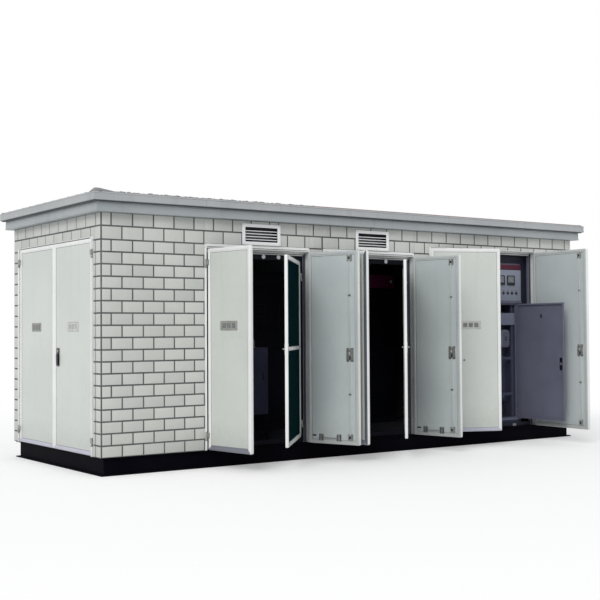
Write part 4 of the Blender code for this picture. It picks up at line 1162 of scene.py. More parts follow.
for doorName, door in doorways.items():
    doorPlace = makeDoorFrame(doorName, door)
    makeLeaf(doorName, "left", door, doorPlace)
    makeLockSet(doorName, *makeLeaf(doorName, "right", door, doorPlace))
print("doors hung")


# ---- Vents over doorways 1 and 2
ventLook = {
    "width": 0.486,
    "height": 0.229,
    "low": 2.3175,
    "rimSide": 0.038,
    "rimRise": 0.038,
    "proud": 0.012,
    "slats": 5,
    "slatTilt": 12.0,
    "blade": 0.022,
    "lip": 0.0055,
    "wiresAcross": 34,
    "wiresUp": 9,
}


def makeVent(number, middle):
    look = ventLook
    shape = Shape()
    x0, x1 = middle - look["width"] / 2, middle + look["width"] / 2
    z0, z1 = look["low"], look["low"] + look["height"]
    face = frontY - site["gap"]
    front = face - look["proud"]
    # Pressed rim with a rolled edge, and the sleeve behind it
    addRing(shape, x0, x1, z0, z1, softSection(look["rimRise"], front, face, 0.0045, 3), 0.008,
            "ventWhite")
    side = ventHole["width"] / 2 - 0.0006
    low, high = ventHole["low"] + 0.0006, ventHole["low"] + ventHole["rise"] - 0.0006
    addRing(shape, middle - side, middle + side, low, high,
            [(0, face - 0.004), (0.0195, face - 0.004), (0.0195, frontY + 0.118),
             (0, frontY + 0.118)], 0.002, "darkBar")
    # Louvre blades: a flat with a turned-down lip
    clearLow, clearHigh = z0 + look["rimRise"], z1 - look["rimRise"]
    step = (clearHigh - clearLow) / look["slats"]
    tilt = math.radians(look["slatTilt"])
    run, drop = look["blade"] * math.cos(tilt), look["blade"] * math.sin(tilt)
    half = look["width"] / 2 - look["rimSide"] + 0.002
    y, sheet = frontY - 0.004, 0.0016
    for index in range(look["slats"]):
        z = clearLow + step * (index + 0.80)
        outline = ((y, z - look["lip"]), (y + sheet, z - look["lip"]), (y + 0.0022, z),
                   (y + run, z + drop), (y + run, z + drop + sheet), (y, z + sheet))
        shape.bar(((middle - half, 0, 0), (middle + half, 0, 0)), [(0, a, b) for a, b in outline],
                  "ventWhite")
    # Insect screen well behind the blades
    back, wire = frontY + 0.085, 0.0006
    inner, low, high = side - 0.0190, low + 0.019, high - 0.019
    shape.block((middle - inner, back, low), (middle + inner, back + 0.002, high), "gasket")
    for index in range(1, look["wiresAcross"]):
        x = middle - inner + 2 * inner * index / look["wiresAcross"]
        shape.block((x - wire, back - 0.001, low), (x + wire, back + 0.0005, high), "zincSteel")
    for index in range(1, look["wiresUp"]):
        z = low + (high - low) * index / look["wiresUp"]
        shape.block((middle - inner, back - 0.0012, z - wire),
                    (middle + inner, back + 0.0005, z + wire), "zincSteel")
    cornerScrews(shape, (middle, front + 0.0002, (z0 + z1) / 2), look["width"] / 2 - 0.016,
                 look["height"] / 2 - 0.016, -1, 0.0038)
    shape.finish(f"vent_{number}_louvre", "building", [f"vent_{number}"], "white_frame")


for number, middle in ventMiddles.items():
    makeVent(number, middle)
print("vents fitted")


# ---- Inner glazed doors of doorways 1 and 2
innerLook = {
    "frameDepth": 0.035,
    "jamb": 0.018,
    "freeJamb": 0.033,
    "sill": 0.055,
    "head": 0.055,
    "thickness": 0.032,
    "profile": 0.042,
    "railHeight": 1.025,
    "rail": 0.036,
    "axisInset": 0.003,
    "standoff": 0.009,
    "gap": 0.006,
    "hingeInset": 0.13,
    "guardBars": 24,
    "lamps": {"doorway_1": (0.591, 0.747), "doorway_2": (0.742,)},
    "angles": {"doorway_1": 48.6, "doorway_2": 50.0},
}

def addLightHinge(shape, axis, z, lug, corner):
    # Fixed half of a light hinge: a knuckle below the leaf's own, the pin and a lug to a corner
    x, y = axis
    end = z - doorLook["knuckleGap"]
    start = end - doorLook["knuckle"] / 2
    shape.rod((x, y, start), (x, y, end), 0.0059, "zincSteel")
    shape.rod((x, y, start + 0.004), (x, y, z + doorLook["knuckle"]), 0.0029, "zincSteel", 12)
    shape.block((x + lug, y + 0.002, start + 0.001), (*corner, end - 0.001), "zincSteel", 0.0008, 1)


def addLightKnuckle(leaf, z, reach):
    # Moving half, with a strap that reaches back to the leaf's face
    top = z + doorLook["knuckle"]
    leaf.turned((0, 0, z), (0, 0, top), ((0, 0.0052), (0.03, 0.0059), (0.97, 0.0059), (1, 0.0052)),
                "zincSteel", 16)
    leaf.block((-0.034, 0.002, z + 0.001), (-0.0045, reach, top - 0.001), "zincSteel", 0.0008, 1)
def makeInnerDoor(name):
    look = innerLook
    door = doorways[name]
    gap = site["gap"]
    x0 = door["foot"][0] + doorLook["stopWidth"] + gap
    x1 = door["foot"][0] + door["width"] - doorLook["stopWidth"] - gap
    z0 = wallZ
    z1 = site["baseTop"] + 2.135 - door["bar"] - doorLook["stopWidth"] - 2 * gap
    y1 = frontY + site["wallThickness"]
    y0 = y1 - look["frameDepth"]
    jamb, sill, head = look["jamb"], look["sill"], look["head"]
    shape = Shape()

    def ring(share, y, trim=0.0):
        free, near = (look["freeJamb"] - trim) * share, (jamb - trim) * share
        low, high = z0 + (sill - trim) * share, z1 - (head - trim) * share
        return [(x, y, z) for x, z in ((x0 + free, low), (x1 - near, low), (x1 - near, high),
                                       (x0 + free, high))]

    # Fixed ring with chamfered edges. The sill and the head are deeper than the jambs.
    shape.skin([ring(0, y0), ring(1, y0, 0.002), ring(1, y0 + 0.002), ring(1, y1 - 0.002),
                ring(1, y1, 0.002), ring(0, y1)], "darkBar", looped=True)
    axisX = x1 - jamb - look["axisInset"]
    axisY = y0 - look["standoff"]
    bottom, top = z0 + sill + look["gap"], z1 - head - look["gap"]
    heights = (bottom + look["hingeInset"], top - look["hingeInset"] - doorLook["knuckle"])
    for z in heights:
        addLightHinge(shape, (axisX, axisY), z, 0.003, (axisX + jamb - 0.001, y0 + 0.0006))
    # Threshold strip with three drawn grooves on the sill, and small lamps on the head's face
    for y in (y0 + 0.008, y0 + 0.016, y0 + 0.024):
        shape.block((x0 + look["freeJamb"], y, z0 + sill - 0.001),
                    (x1 - jamb, y + 0.004, z0 + sill + 0.0015), "roomCabinet", 0.0006, 1)
    for share in look["lamps"][name]:
        x, z = x0 + (x1 - x0) * share, z1 - 0.023
        shape.turned((x, y0 + 0.001, z), (x, y0 - 0.0090, z),
                     ((0, 0.024), (0.3, 0.024), (0.4, 0.022), (0.8, 0.018), (1.0, 0.010)),
                     "lampGlass", 18)
    shape.finish(f"{name}_inner_bar_frame", "building", [f"{name}_inner_frame"], "white_frame")

    swing = placedAt((axisX, axisY, 0), look["angles"][name])
    near = look["axisInset"] - look["gap"]
    far = -(x1 - x0 - jamb - look["freeJamb"] - look["gap"] - look["axisInset"])
    face = look["standoff"]
    back = face + look["thickness"]
    bar = look["profile"]
    leaf = Shape(swing)
    faces = addRing(leaf, far, near, bottom, top, softSection(bar, face, back, 0.0055, 3), 0.012,
                    "whiteBar")
    # Painted shade: the hinge-side stile takes the greyer bar paint
    leaf.paintWhere(faces, lambda spot: spot.x > near - bar - 0.001, "innerBar")
    railLow = wallZ + look["railHeight"]
    railHigh = railLow + look["rail"]
    leaf.block((far + bar - 0.004, face + 0.002, railLow),
               (near - bar + 0.004, back - 0.002, railHigh), "whiteBar", 0.004)
    # Glazing beads and seals round both panes
    panes = ((bottom + bar, railLow), (railHigh, top - bar))
    for low, high in panes:
        for y in (face + 0.0125, face + 0.0215):
            addRing(leaf, far + bar, near - bar, low, high,
                    [(-0.002, y), (0.0055, y), (0.0065, y + 0.0015), (0.0065, y + 0.003),
                     (-0.002, y + 0.003)], 0.002, "gasket")
    for z in heights:
        addLightKnuckle(leaf, z, face + 0.0012)
    # Lever handle on a short plate, both faces
    x, z = far + bar * 0.5, railLow + look["rail"] / 2
    for side, y in ((-1, face), (1, back)):
        leaf.block((x - 0.013, y, z - 0.055), (x + 0.013, y + side * 0.004, z + 0.055),
                   "plateSteel", 0.0018)
        leaf.rod((x, y, z), (x, y + side * 0.024, z), 0.0060, "plateSteel", 14)
        leaf.rod((x, y + side * 0.021, z), (x + 0.058, y + side * 0.021, z - 0.004), 0.0060,
                 "plateSteel", 14, 0.35)
        leaf.turned((x, y + side * 0.0035, z - 0.034), (x, y + side * 0.0055, z - 0.034),
                    ((0, 0.0065), (0.7, 0.0065), (1, 0.005)), "gasket", 16)
    leaf.finish(f"{name}_inner_bar_leaf", f"{name}_inner_leaf_body", [f"{name}_inner_leaf"],
                "white_frame")

    glass = Shape(swing)
    for low, high in panes:
        glass.block((far + bar - 0.004, face + 0.0152, low - 0.004),
                    (near - bar + 0.004, face + 0.0218, high + 0.004), "darkGlazing", 0.0006, 1)
        # A guard of thin bars stands close to the pane's outer side
        count = look["guardBars"]
        for index in range(count):
            x = far + bar + (near - far - 2 * bar) * (index + 0.5) / count
            glass.block((x - 0.0018, face + 0.0118, low - 0.001),
                        (x + 0.0018, face + 0.0156, high + 0.001), "meshWire", 0.0006, 1)
    glass.finish(f"{name}_inner_panes", f"{name}_inner_leaf_body", [f"{name}_inner_glass"],
                 "dark_glass")


for name in ("doorway_1", "doorway_2"):
    makeInnerDoor(name)
print("inner doors glazed")


# ---- Low-voltage cabinet behind doorway 3
cabinetLook = {
    "x0": leftX + 5.07,
    "x1": leftX + 5.89,
    "outerX": leftX + 5.955,
    "y0": frontY + 0.155,
    "depth": 0.55,
    "plinth": 0.07,
    "top": 2.25,
    "cavityTop": 1.72,
    "cavityLow": 0.29,
    "wall": 0.02,
    "fillerStart": 4.312,
    "fillerEnd": 6.028,
    "fillerTop": 2.350,
    "doorAngle": 89.0,
    "panel": (1.770, 2.166),
    "header": (2.170, 2.232),
    "meters": {"count": 4, "step": 0.178, "middle": 2.032, "width": 0.130, "height": 0.125},
    "buttons": {"count": 10, "step": 0.0757, "middle": 1.870, "radius": 0.0155},
    "labels": {"half": 0.018, "low": 1.897, "high": 1.908},
    "ledge": (1.738, 1.768),
    "crossPlate": (1.463, 1.616),
    "uprights": (0.03, 0.36, 0.754),    # from the compartment's left side
    "rails": (0.565, 1.02),
    "slots": {"count": 12, "step": 0.057, "length": 0.030},
    "lockMiddle": 0.98,
    "holePlate": (1.548, 1.592),
}
cabinetAxis = (cabinetLook["x1"] - 0.014, cabinetLook["y0"] - 0.034)
cabinetDoorZ = (cabinetLook["cavityLow"] - 0.012, cabinetLook["cavityTop"] + 0.012)
cabinetHinges = (cabinetDoorZ[0] + 0.13, cabinetDoorZ[1] - 0.13 - doorLook["knuckle"])


def makeMeter(shape, x, z, y, width, height):
    # A panel meter: bezel, pale dial, window and a needle
    halfX, halfZ = width / 2, height / 2
    addRing(shape, x - halfX, x + halfX, z - halfZ, z + halfZ,
            softSection(0.008, y - 0.014, y + 0.001, 0.003, 2), 0.007, "blackGrip")
    shape.block((x - halfX + 0.0075, y - 0.006, z - halfZ + 0.0075),
                (x + halfX - 0.0075, y + 0.0005, z + halfZ - 0.0075), "meterFace")
    lowZ = z - halfZ + 0.008
    shape.block((x - halfX + 0.009, y - 0.0085, lowZ),
                (x + halfX - 0.009, y - 0.0055, lowZ + height * 0.22), "blackGrip", 0.001, 1)
    # Scale ticks on an arc, and the needle
    reach, tick = height * 0.55, Vector((0.0008, 0.0003, 0.003))
    for step in range(9):
        a = math.radians(45 + 90 * step / 8)
        tip = Vector((x + math.cos(a) * reach, y - 0.0064,
                      lowZ + height * 0.16 + math.sin(a) * reach))
        shape.block(tip - tick, tip + tick, "blackGrip")
    foot = Vector((x, y - 0.0070, lowZ + height * 0.18))
    shape.rod(foot, foot + Vector((-height * 0.30, 0, height * 0.36)), 0.0009, "blackGrip", 8)


def makeButton(shape, x, z, y, radius):
    shape.turned((x, y + 0.001, z), (x, y - 0.012, z),
                 ((0, radius * 1.25), (0.3, radius * 1.25), (0.36, radius * 1.05),
                  (0.4, radius * 0.9), (0.9, radius * 0.9), (1.0, radius * 0.7)), "blackGrip", 22)


def makeLowVoltageCabinet():
    look = cabinetLook
    x0, x1, y0, outerX = look["x0"], look["x1"], look["y0"], look["outerX"]
    y1 = y0 + look["depth"]
    wall, top, cavityTop, cavityLow = (
        look[key] for key in ("wall", "top", "cavityTop", "cavityLow"))
    lowZ = site["baseTop"] + site["gap"]
    bodyZ = lowZ + site["gap"] + look["plinth"]
    innerX = (x0 + wall, x1 - wall)
    shape = Shape()
    # Folded shell round the open compartment
    for low, high in ((cavityTop, top), (bodyZ, cavityLow)):
        shape.block((x0, y0, low), (outerX, y1, high), "cabinetCoat", 0.003)
    for a, b in ((x0, innerX[0]), (innerX[1], outerX)):
        shape.block((a, y0, cavityLow - 0.004), (b, y1, cavityTop + 0.004), "cabinetCoat", 0.002, 1)
    shape.block((innerX[0] - 0.002, y1 - wall, cavityLow - 0.004),
                (innerX[1] + 0.002, y1, cavityTop + 0.004), "cabinetDark", 0.001, 1)
    # Painted shade: thin dark liners on both sides, above and below darken the compartment inside
    for x, back, front in ((innerX[0], 0.0005, 0.0015), (innerX[1], 0.0015, 0.0005)):
        shape.block((x - back, y0 + 0.004, cavityLow), (x + front, y1 - wall, cavityTop),
                    "cabinetDark")
    for z, below, above in ((cavityLow, 0.0005, 0.0015), (cavityTop, 0.0015, 0.0005)):
        shape.block((innerX[0], y0 + 0.004, z - below), (innerX[1], y1 - wall, z + above),
                    "cabinetDark")
    # Instrument panel over the upper part, with its header stripe
    face = y0 - 0.0005
    front = face - 0.018
    for (low, high), material in ((look["panel"], "cabinetPale"), (look["header"], "headerRed")):
        shape.block((x0 + 0.006, front, low), (outerX - 0.003, face + 0.001, high), material, 0.003)
    meters, buttons, labels = look["meters"], look["buttons"], look["labels"]
    for step in range(meters["count"]):
        makeMeter(shape, outerX - 0.190 - step * meters["step"], meters["middle"], front,
                  meters["width"], meters["height"])
    for step in range(buttons["count"]):
        x = outerX - 0.092 - step * buttons["step"]
        makeButton(shape, x, buttons["middle"], front, buttons["radius"])
        shape.block((x - labels["half"], front - 0.0012, labels["low"]),
                    (x + labels["half"], front + 0.0004, labels["high"]), "plateInk", 0.0003, 1)
    # Ledge over the compartment
    low, high = look["ledge"]
    shape.block((x0 + 0.004, y0 - 0.030, low), (outerX - 0.002, y0 + 0.002, high), "cabinetCoat",
                0.005)
    # Members inside the open compartment, behind the cross plate
    y, acrossX = y0 + 0.016, (innerX[0] - 0.001, innerX[1] + 0.001)
    low, high = look["crossPlate"]
    shape.block((acrossX[0], y, low), (acrossX[1], y + 0.012, high), "crossGrey", 0.002, 1)
    for x in (x0 + share for share in look["uprights"]):
        shape.block((x, y + 0.020, cavityLow - 0.002), (x + 0.032, y + 0.052, cavityTop + 0.002),
                    "cabinetDark", 0.002, 1)
    for z in look["rails"]:
        shape.block((acrossX[0], y + 0.022, z), (acrossX[1], y + 0.050, z + 0.034), "cabinetDark",
                    0.002, 1)
    # Return flange round the opening, and a channel along its foot
    for a, b in ((acrossX[0], innerX[0] + 0.014), (innerX[1] - 0.014, acrossX[1])):
        shape.block((a, y0 + 0.002, cavityLow), (b, y0 + 0.010, cavityTop), "cabinetCoat", 0.001, 1)
    shape.block((x0 + 0.004, y0 - 0.010, bodyZ + 0.002),
                (outerX - 0.004, y0 + 0.001, cavityLow - 0.019), "crossGrey", 0.003)
    # Filler sheets close the doorway beside and over the cabinet; their near-black paint is painted
    # shade of the dark room behind
    start, end = leftX + look["fillerStart"], leftX + look["fillerEnd"]
    fillerTop = look["fillerTop"]
    for a, b, low in ((outerX - 0.002, end, bodyZ + 0.002), (start, outerX, top - 0.002)):
        shape.block((a, y0 + 0.006, low), (b, y0 + 0.009, fillerTop), "fillerPaintedShade", 0.001, 1)
    # Their returns reach back to the wall's inner face
    for a, low, high in ((end - 0.001, bodyZ + 0.002, fillerTop),
                         (start, fillerTop - 0.001, fillerTop + 0.002)):
        shape.block((a, frontY + 0.1215, low), (end + 0.002, y0 + 0.0085, high), "fillerPaintedShade")
    # Fixed halves of the hinges of the compartment's door
    for z in cabinetHinges:
        addLightHinge(shape, cabinetAxis, z, 0.002, (x1 - 0.002, y0 + 0.0006))
    shape.finish("low_voltage_cabinet_shell", "building", ["low_voltage_cabinet"], "cabinet_grey")

    plinth = Shape()
    plinth.block((x0 + 0.001, y0 + 0.001, lowZ),
                 (outerX - 0.001, y1 - 0.001, lowZ + look["plinth"]), "cabinetDark", 0.002, 1)
    slots = look["slots"]
    for step in range(slots["count"]):
        x = x0 + 0.08 + step * slots["step"]
        plinth.block((x, y0 - 0.0008, lowZ + 0.018),
                     (x + slots["length"], y0 + 0.002, lowZ + 0.026), "gasket", 0.001, 1)
    plinth.finish("cabinet_plinth_slotted", "building", ["cabinet_plinth"], "cabinet_grey")
def makeCabinetDoor():
    look = cabinetLook
    shape = Shape(placedAt((*cabinetAxis, 0), look["doorAngle"]))
    low, high = cabinetDoorZ
    near, far = -0.006, -(look["x1"] - look["x0"] - 0.028)
    face, back = 0.007, 0.029
    # Folded tray with rolled corners and a return lip
    shape.block((far, face, low), (near, face + 0.003, high), "cabinetCoat", 0.0012, 1)
    addRing(shape, far, near, low, high, [
        (0, face + 0.001), (0.0025, face + 0.001), (0.0025, back - 0.0025), (0.020, back - 0.0025),
        (0.020, back), (0.002, back), (0, back - 0.002)], 0.006, "cabinetCoat")
    # Lock tongue with its rod guides near the free edge, and a square hole plate higher up
    z = look["lockMiddle"]
    shape.block((far + 0.024, face + 0.002, z - 0.075), (far + 0.072, face + 0.016, z + 0.075),
                "darkBar", 0.003, 2)
    shape.turned((far + 0.051, face + 0.015, z), (far + 0.051, face + 0.021, z),
                 ((0, 0.014), (0.7, 0.014), (1, 0.010)), "zincSteel", 20)
    shape.block((far + 0.006, face + 0.014, z - 0.008), (far + 0.058, face + 0.018, z + 0.008),
                "darkBar", 0.001, 1)
    spot = (far + near) / 2 - 0.01
    low, high = look["holePlate"]
    shape.block((spot - 0.017, face + 0.002, low), (spot + 0.017, face + 0.0045, high), "gasket",
                0.001, 1)
    for z in cabinetHinges:
        addLightKnuckle(shape, z, face + 0.0008)
    shape.finish("cabinet_door_tray", "cabinet_door_body", ["cabinet_door"], "cabinet_grey")


breakerLook = {
    "cornerRound": 0.050,
    "ribs": 9,
    "margin": 0.032,        # from the shell's ends to the first and the last rib
    "ribReach": 0.052,
    "endReach": 0.040,
}


def makeBreaker():
    # Moulded shell with rounded ends, cooling ribs and a toggle well
    low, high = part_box("breaker")
    middle, centreZ = (low.x + high.x) / 2, (low.z + high.z) / 2
    shape = Shape()
    shape.skin([[(x, low.y + 0.010 + (high.y - low.y - 0.010) * share, z) for x, z in
                 roundedOutline(low.x, high.x, low.z, high.z, inset,
                                breakerLook["cornerRound"], 6)]
                for share, inset in ((0, 0.010), (0.05, 0.003), (0.14, 0.0), (0.95, 0.0),
                                     (1.0, 0.002))], "breakerGrey")
    ribs, margin = breakerLook["ribs"], breakerLook["margin"]
    for step in range(ribs):
        z = low.z + margin + step * (high.z - low.z - 2 * margin) / (ribs - 1)
        reach = breakerLook["ribReach" if 0 < step < ribs - 1 else "endReach"]
        shape.block((middle - reach, low.y, z - 0.0045),
                    (middle + reach, low.y + 0.014, z + 0.0045), "breakerGrey", 0.003)
    shape.block((middle - 0.013, low.y + 0.0005, centreZ - 0.03),
                (middle + 0.013, low.y + 0.012, centreZ + 0.03), "blackGrip", 0.003)
    shape.finish("breaker_ribbed_shell", "building", ["breaker"], "breaker_shell")


busLook = {"bars": 3, "low": 0.10, "step": 0.12, "width": 0.030}


def makeMountingPlate():
    low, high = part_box("mounting_plate")
    shape = Shape()
    shape.block(low, high, "cabinetDark", 0.002, 1)
    front = low.y
    # Copper bars on stand-off insulators, left of the breaker
    for step in range(busLook["bars"]):
        z = low.z + busLook["low"] + step * busLook["step"]
        shape.block((low.x + 0.05, front - 0.052, z),
                    (low.x + 0.44, front - 0.046, z + busLook["width"]), "busCopper", 0.001, 1)
        for x in (low.x + 0.10, low.x + 0.39):
            shape.turned((x, front + 0.001, z + 0.015), (x, front - 0.0465, z + 0.015),
                         ((0, 0.016), (0.2, 0.016), (0.3, 0.011), (0.45, 0.015), (0.6, 0.011),
                          (0.75, 0.014), (1.0, 0.012)), "porcelain", 18)
            screwHead(shape, (x, front - 0.0520, z + 0.015), (0, -1, 0), 0.0055)
    size = high - low
    for share in (0.06, 0.94):
        for up in (0.05, 0.5, 0.95):
            screwHead(shape, (low.x + size.x * share, front + 0.0002, low.z + size.z * up),
                      (0, -1, 0), 0.006)
    shape.finish("mounting_plate_dressed", "building", ["mounting_plate"], "cabinet_grey")


makeLowVoltageCabinet()
makeCabinetDoor()
makeBreaker()
makeMountingPlate()
print("low-voltage cabinet built")


# ---- Tall cabinets and the metering box in the middle room
tallLook = {
    "headerLow": 1.97,
    "headerHigh": 2.148,
    "headers": {1: "roomCabinet", 2: "roomHeader"},
    "skirt": 0.10,
    "split": 1.18,          # between the lower and the upper door
    "meters": {"apart": 0.22, "half": 0.07, "low": 1.58, "high": 1.74, "rim": 0.0095},
    "lamps": {"apart": 0.12, "middle": 1.44},
}


def makeTallCabinet(number):
    look = tallLook
    node = f"tall_cabinet_{number}"
    low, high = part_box(node)
    middle, y, headerLow = (low.x + high.x) / 2, low.y, look["headerLow"]
    skirtTop = low.z + look["skirt"]
    shape = Shape()
    shape.block((low.x, y + 0.020, low.z), high, "roomCabinet", 0.006)
    # Two doors with a reveal, a skirting, and the header band over them
    shape.block((low.x + 0.002, y + 0.012, low.z), (high.x - 0.002, y + 0.022, skirtTop),
                "roomCabinet", 0.002, 1)
    for z0, z1 in ((skirtTop + 0.006, look["split"] - 0.004),
                   (look["split"] + 0.004, headerLow - 0.006)):
        shape.block((low.x + 0.006, y, z0), (high.x - 0.006, y + 0.022, z1), "roomCabinet", 0.003)
        z = (z0 + z1) / 2
        shape.block((high.x - 0.075, y, z - 0.045), (high.x - 0.051, y + 0.004, z + 0.045),
                    "gasket", 0.002)
    shape.block((low.x + 0.002, y + 0.002, headerLow), (high.x - 0.002, y + 0.022, high.z - 0.003),
                look["headers"][number], 0.003)
    half, z0, z1, rim = (look["meters"][key] for key in ("half", "low", "high", "rim"))
    for x in (middle - look["meters"]["apart"] / 2, middle + look["meters"]["apart"] / 2):
        addRing(shape, x - half, x + half, z0, z1, softSection(0.010, y, y + 0.006, 0.002, 2),
                0.008, "blackGrip")
        shape.block((x - half + rim, y + 0.001, z0 + rim), (x + half - rim, y + 0.003, z1 - rim),
                    "meterFace")
    z = look["lamps"]["middle"]
    for step in (-1, 0, 1):
        x = middle + step * look["lamps"]["apart"]
        shape.turned((x, y + 0.002, z), (x, y, z), ((0, 0.019), (0.5, 0.019), (1.0, 0.016)),
                     "roomCabinet")
    # Round lamp at the header's end
    x, z = high.x - 0.055, (headerLow + look["headerHigh"]) / 2
    shape.turned((x, y + 0.010, z), (x, y, z),
                 ((0, 0.030), (0.3, 0.030), (0.5, 0.024), (0.85, 0.021), (1.0, 0.012)),
                 "lampGlass", 24)
    shape.finish(f"{node}_front", "building", [node], "cabinet_grey")


boxLook = {
    "body": 0.475,          # where the housing starts above its legs
    "lockLow": 0.86,
    "lockHigh": 0.94,
    "louvres": 7,
    "louvreStep": 0.022,
}


def makeMeteringBox():
    low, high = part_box("metering_box")
    shape = Shape()
    (x0, y0, z0), (x1, y1, z1) = low, high
    body, lockLow, lockHigh = (boxLook[key] for key in ("body", "lockLow", "lockHigh"))
    shape.block((x0, y0 + 0.004, body), (x1, y1, z1 - 0.016), "meterCoat", 0.004)
    shape.block((x0, y0, z1 - 0.018), (x1, y1, z1), "meterCoat", 0.005)
    # Angle legs
    for x, side in ((x0 + 0.002, 0.0), (x1 - 0.052, 0.044)):
        for y in (y0 + 0.002, y1 - 0.052):
            shape.block((x, y, z0), (x + 0.050, y + 0.006, body + 0.004), "roomCabinet", 0.001, 1)
            shape.block((x + side, y, z0), (x + side + 0.006, y + 0.050, body + 0.004),
                        "roomCabinet", 0.001, 1)
    # Sunk front door, its lock, louvres in the side
    shape.block((x0 + 0.030, y0 + 0.001, body + 0.03), (x1 - 0.030, y0 + 0.007, z1 - 0.045),
                "meterCoat", 0.001, 1)
    shape.block((x0 + 0.046, y0, body + 0.05), (x0 + 0.060, y0 + 0.004, z1 - 0.065), "lowRail",
                0.001, 1)
    shape.block((x1 - 0.080, y0 + 0.0005, lockLow), (x1 - 0.056, y0 + 0.007, lockHigh), "gasket",
                0.002)
    for step in range(boxLook["louvres"]):
        z = body + 0.10 + step * boxLook["louvreStep"]
        shape.block((x0, y0 + 0.12, z), (x0 + 0.004, y0 + 0.34, z + 0.008), "cabinetDark", 0.001, 1)
    shape.finish("metering_box_housing", "building", ["metering_box"], "cabinet_grey")


def makeBushing():
    low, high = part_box("bushing")
    shape = Shape()
    x, y = ((low + high) / 2).xy
    reach, radius = high.z - low.z, (high.x - low.x) / 2
    # Flange, three sheds with round lips, and a metal cap
    outline = [(0.0, 1.0), (0.08, 1.0), (0.11, 0.94), (0.13, 0.60)]
    for start, size in ((0.20, 0.98), (0.42, 0.92), (0.64, 0.86)):
        outline += [(start, 0.52), (start + 0.04, size * 0.9), (start + 0.07, size),
                    (start + 0.10, size * 0.92), (start + 0.14, 0.54)]
    outline += [(0.84, 0.46), (0.90, 0.44)]
    cap = ((0, 0.30), (0.4, 0.30), (0.45, 0.40), (0.85, 0.40), (1.0, 0.32))
    for z0, z1, form, material, sides in (
            (low.z, low.z + reach * 0.97, outline, "porcelain", 28),
            (low.z + reach * 0.85, high.z, cap, "plateSteel", 6)):
        shape.turned((x, y, z0), (x, y, z1), [(share, radius * size) for share, size in form],
                     material, sides)
    shape.finish("bushing_sheds", "building", ["bushing"], "breaker_shell")


for number in (1, 2):
    makeTallCabinet(number)
makeMeteringBox()
makeBushing()
print("room fitted out")


# ---- Frame nodes whose shape is right keep it, with a better finish in their slots
kept = {
    "base_beam": "baseSteel",
    "base_cross_beam": "baseSteel",
    "floor": "floorSteel",
    # Painted shade: near-black ceiling paint for the unlit room
    "ceiling": "ceilingPaintedShade",
}
for node, material in kept.items():
    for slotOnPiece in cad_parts[node].material_slots:
        slotOnPiece.material = finish[material]
print("frame nodes finished")


# ---- Stage: a pale floor that fades to white, soft light and the camera
stageLook = {
    "colour": (0.80, 0.80, 0.80),
    "lift": 0.27,         # white added for the camera, so that the open floor reads as white
    "clearFrom": 5.0,
    "clearTo": 9.5,
    "size": 160.0,
}


white = (1.0, 1.0, 1.0, 1.0)


def whiteSight(tree):
    # 1 for what the eye, a mirror or glass sees directly
    rays = addNode(tree, "LightPath").outputs
    total = addMath(tree, "ADD", rays["Is Camera Ray"], rays["Is Glossy Ray"], True)
    return addMath(tree, "ADD", total, rays["Is Transmission Ray"], True)


def addShader(tree, kind, values):
    return addNode(tree, kind, values).outputs[0]


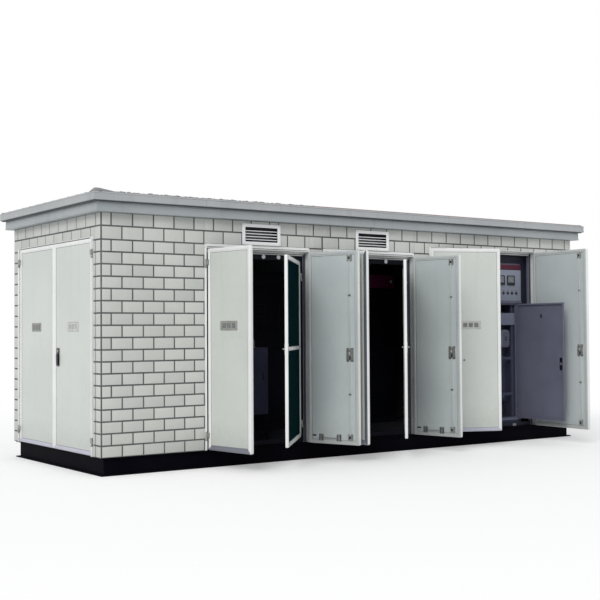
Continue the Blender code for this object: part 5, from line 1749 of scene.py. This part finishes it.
def makeFloor():
    look = stageLook
    material = bpy.data.materials.new("stageFloor")
    material.use_nodes = True
    tree = material.node_tree
    tree.nodes.clear()
    seen = whiteSight(tree)
    place = addNode(tree, "TexCoord").outputs["Object"]
    length = addNode(tree, "VectorMath", {0: place}, operation="LENGTH").outputs["Value"]
    away = addRamp(tree, length, look["clearFrom"], look["clearTo"])
    lit = addShader(tree, "AddShader", {
        0: addShader(tree, "BsdfDiffuse", {"Color": solid(look["colour"])}),
        1: addShader(tree, "Emission", {
            "Color": white, "Strength": addMath(tree, "MULTIPLY", seen, look["lift"])})})
    mixed = addShader(tree, "MixShader", {
        0: addMath(tree, "MULTIPLY", away, seen), 1: lit,
        2: addShader(tree, "Emission", {"Color": white})})
    addNode(tree, "OutputMaterial", {"Surface": mixed})
    mesh = bpy.data.meshes.new("stageFloor")
    half = look["size"] / 2
    mesh.from_pydata([(-half, -half, -0.0005), (half, -half, -0.0005), (half, half, -0.0005),
                      (-half, half, -0.0005)], [], [(0, 1, 2, 3)])
    mesh.materials.append(material)
    floor = addObject("stageFloor", mesh)


def makeSky():
    world = bpy.data.worlds.new("softSky")
    bpy.context.scene.world = world
    world.use_nodes = True
    tree = world.node_tree
    tree.nodes.clear()
    light = addShader(tree, "Background", {
        "Color": (0.97, 0.985, 1.0, 1.0), "Strength": lightLook["sky"]})
    mixed = addShader(tree, "MixShader", {
        0: whiteSight(tree), 1: light, 2: addShader(tree, "Background", {"Color": white})})
    addNode(tree, "OutputWorld", {"Surface": mixed})

lightLook = {
    "sky": 0.68,
    "sunStrength": 1.24,
    "sunAngle": 28.0,
    "sunFrom": (-0.74, -0.56, 0.62),
}


def makeSun():
    sun = bpy.data.lights.new("softSun", "SUN")
    sun.energy = lightLook["sunStrength"]
    sun.angle = math.radians(lightLook["sunAngle"])
    sun.color = (1.0, 0.99, 0.965)
    lamp = addObject("softSun", sun)
    lamp.rotation_euler = Vector(lightLook["sunFrom"]).to_track_quat("Z", "Y").to_euler()


cameraLook = {
    "place": (-8.025, -11.110, 1.399),
    "lens": 66.906,
    "yaw": 35.17,        # degrees to the right of +Y
    "pitch": 1.61,
    "roll": -0.37,
}


def makeCamera():
    look = cameraLook
    data = bpy.data.cameras.new("photoView")
    data.lens = look["lens"]
    data.sensor_width = 36.0
    data.clip_end = 300.0
    camera = addObject("photoView", data)
    yaw, pitch, roll = (math.radians(look[key]) for key in ("yaw", "pitch", "roll"))
    ahead = Vector((math.sin(yaw) * math.cos(pitch), math.cos(yaw) * math.cos(pitch),
                    math.sin(pitch)))
    level = Vector((math.cos(yaw), -math.sin(yaw), 0))
    above = level.cross(ahead)
    right = level * math.cos(roll) + above * math.sin(roll)
    up = above * math.cos(roll) - level * math.sin(roll)
    turn = Matrix((right, up, -ahead)).transposed().to_4x4()
    camera.matrix_world = Matrix.Translation(look["place"]) @ turn
    bpy.context.scene.camera = camera


makeFloor()
makeSky()
makeSun()
makeCamera()
bpy.context.scene.view_settings.view_transform = "Standard"

bpy.context.view_layer.update()
print("stage set, camera placed")
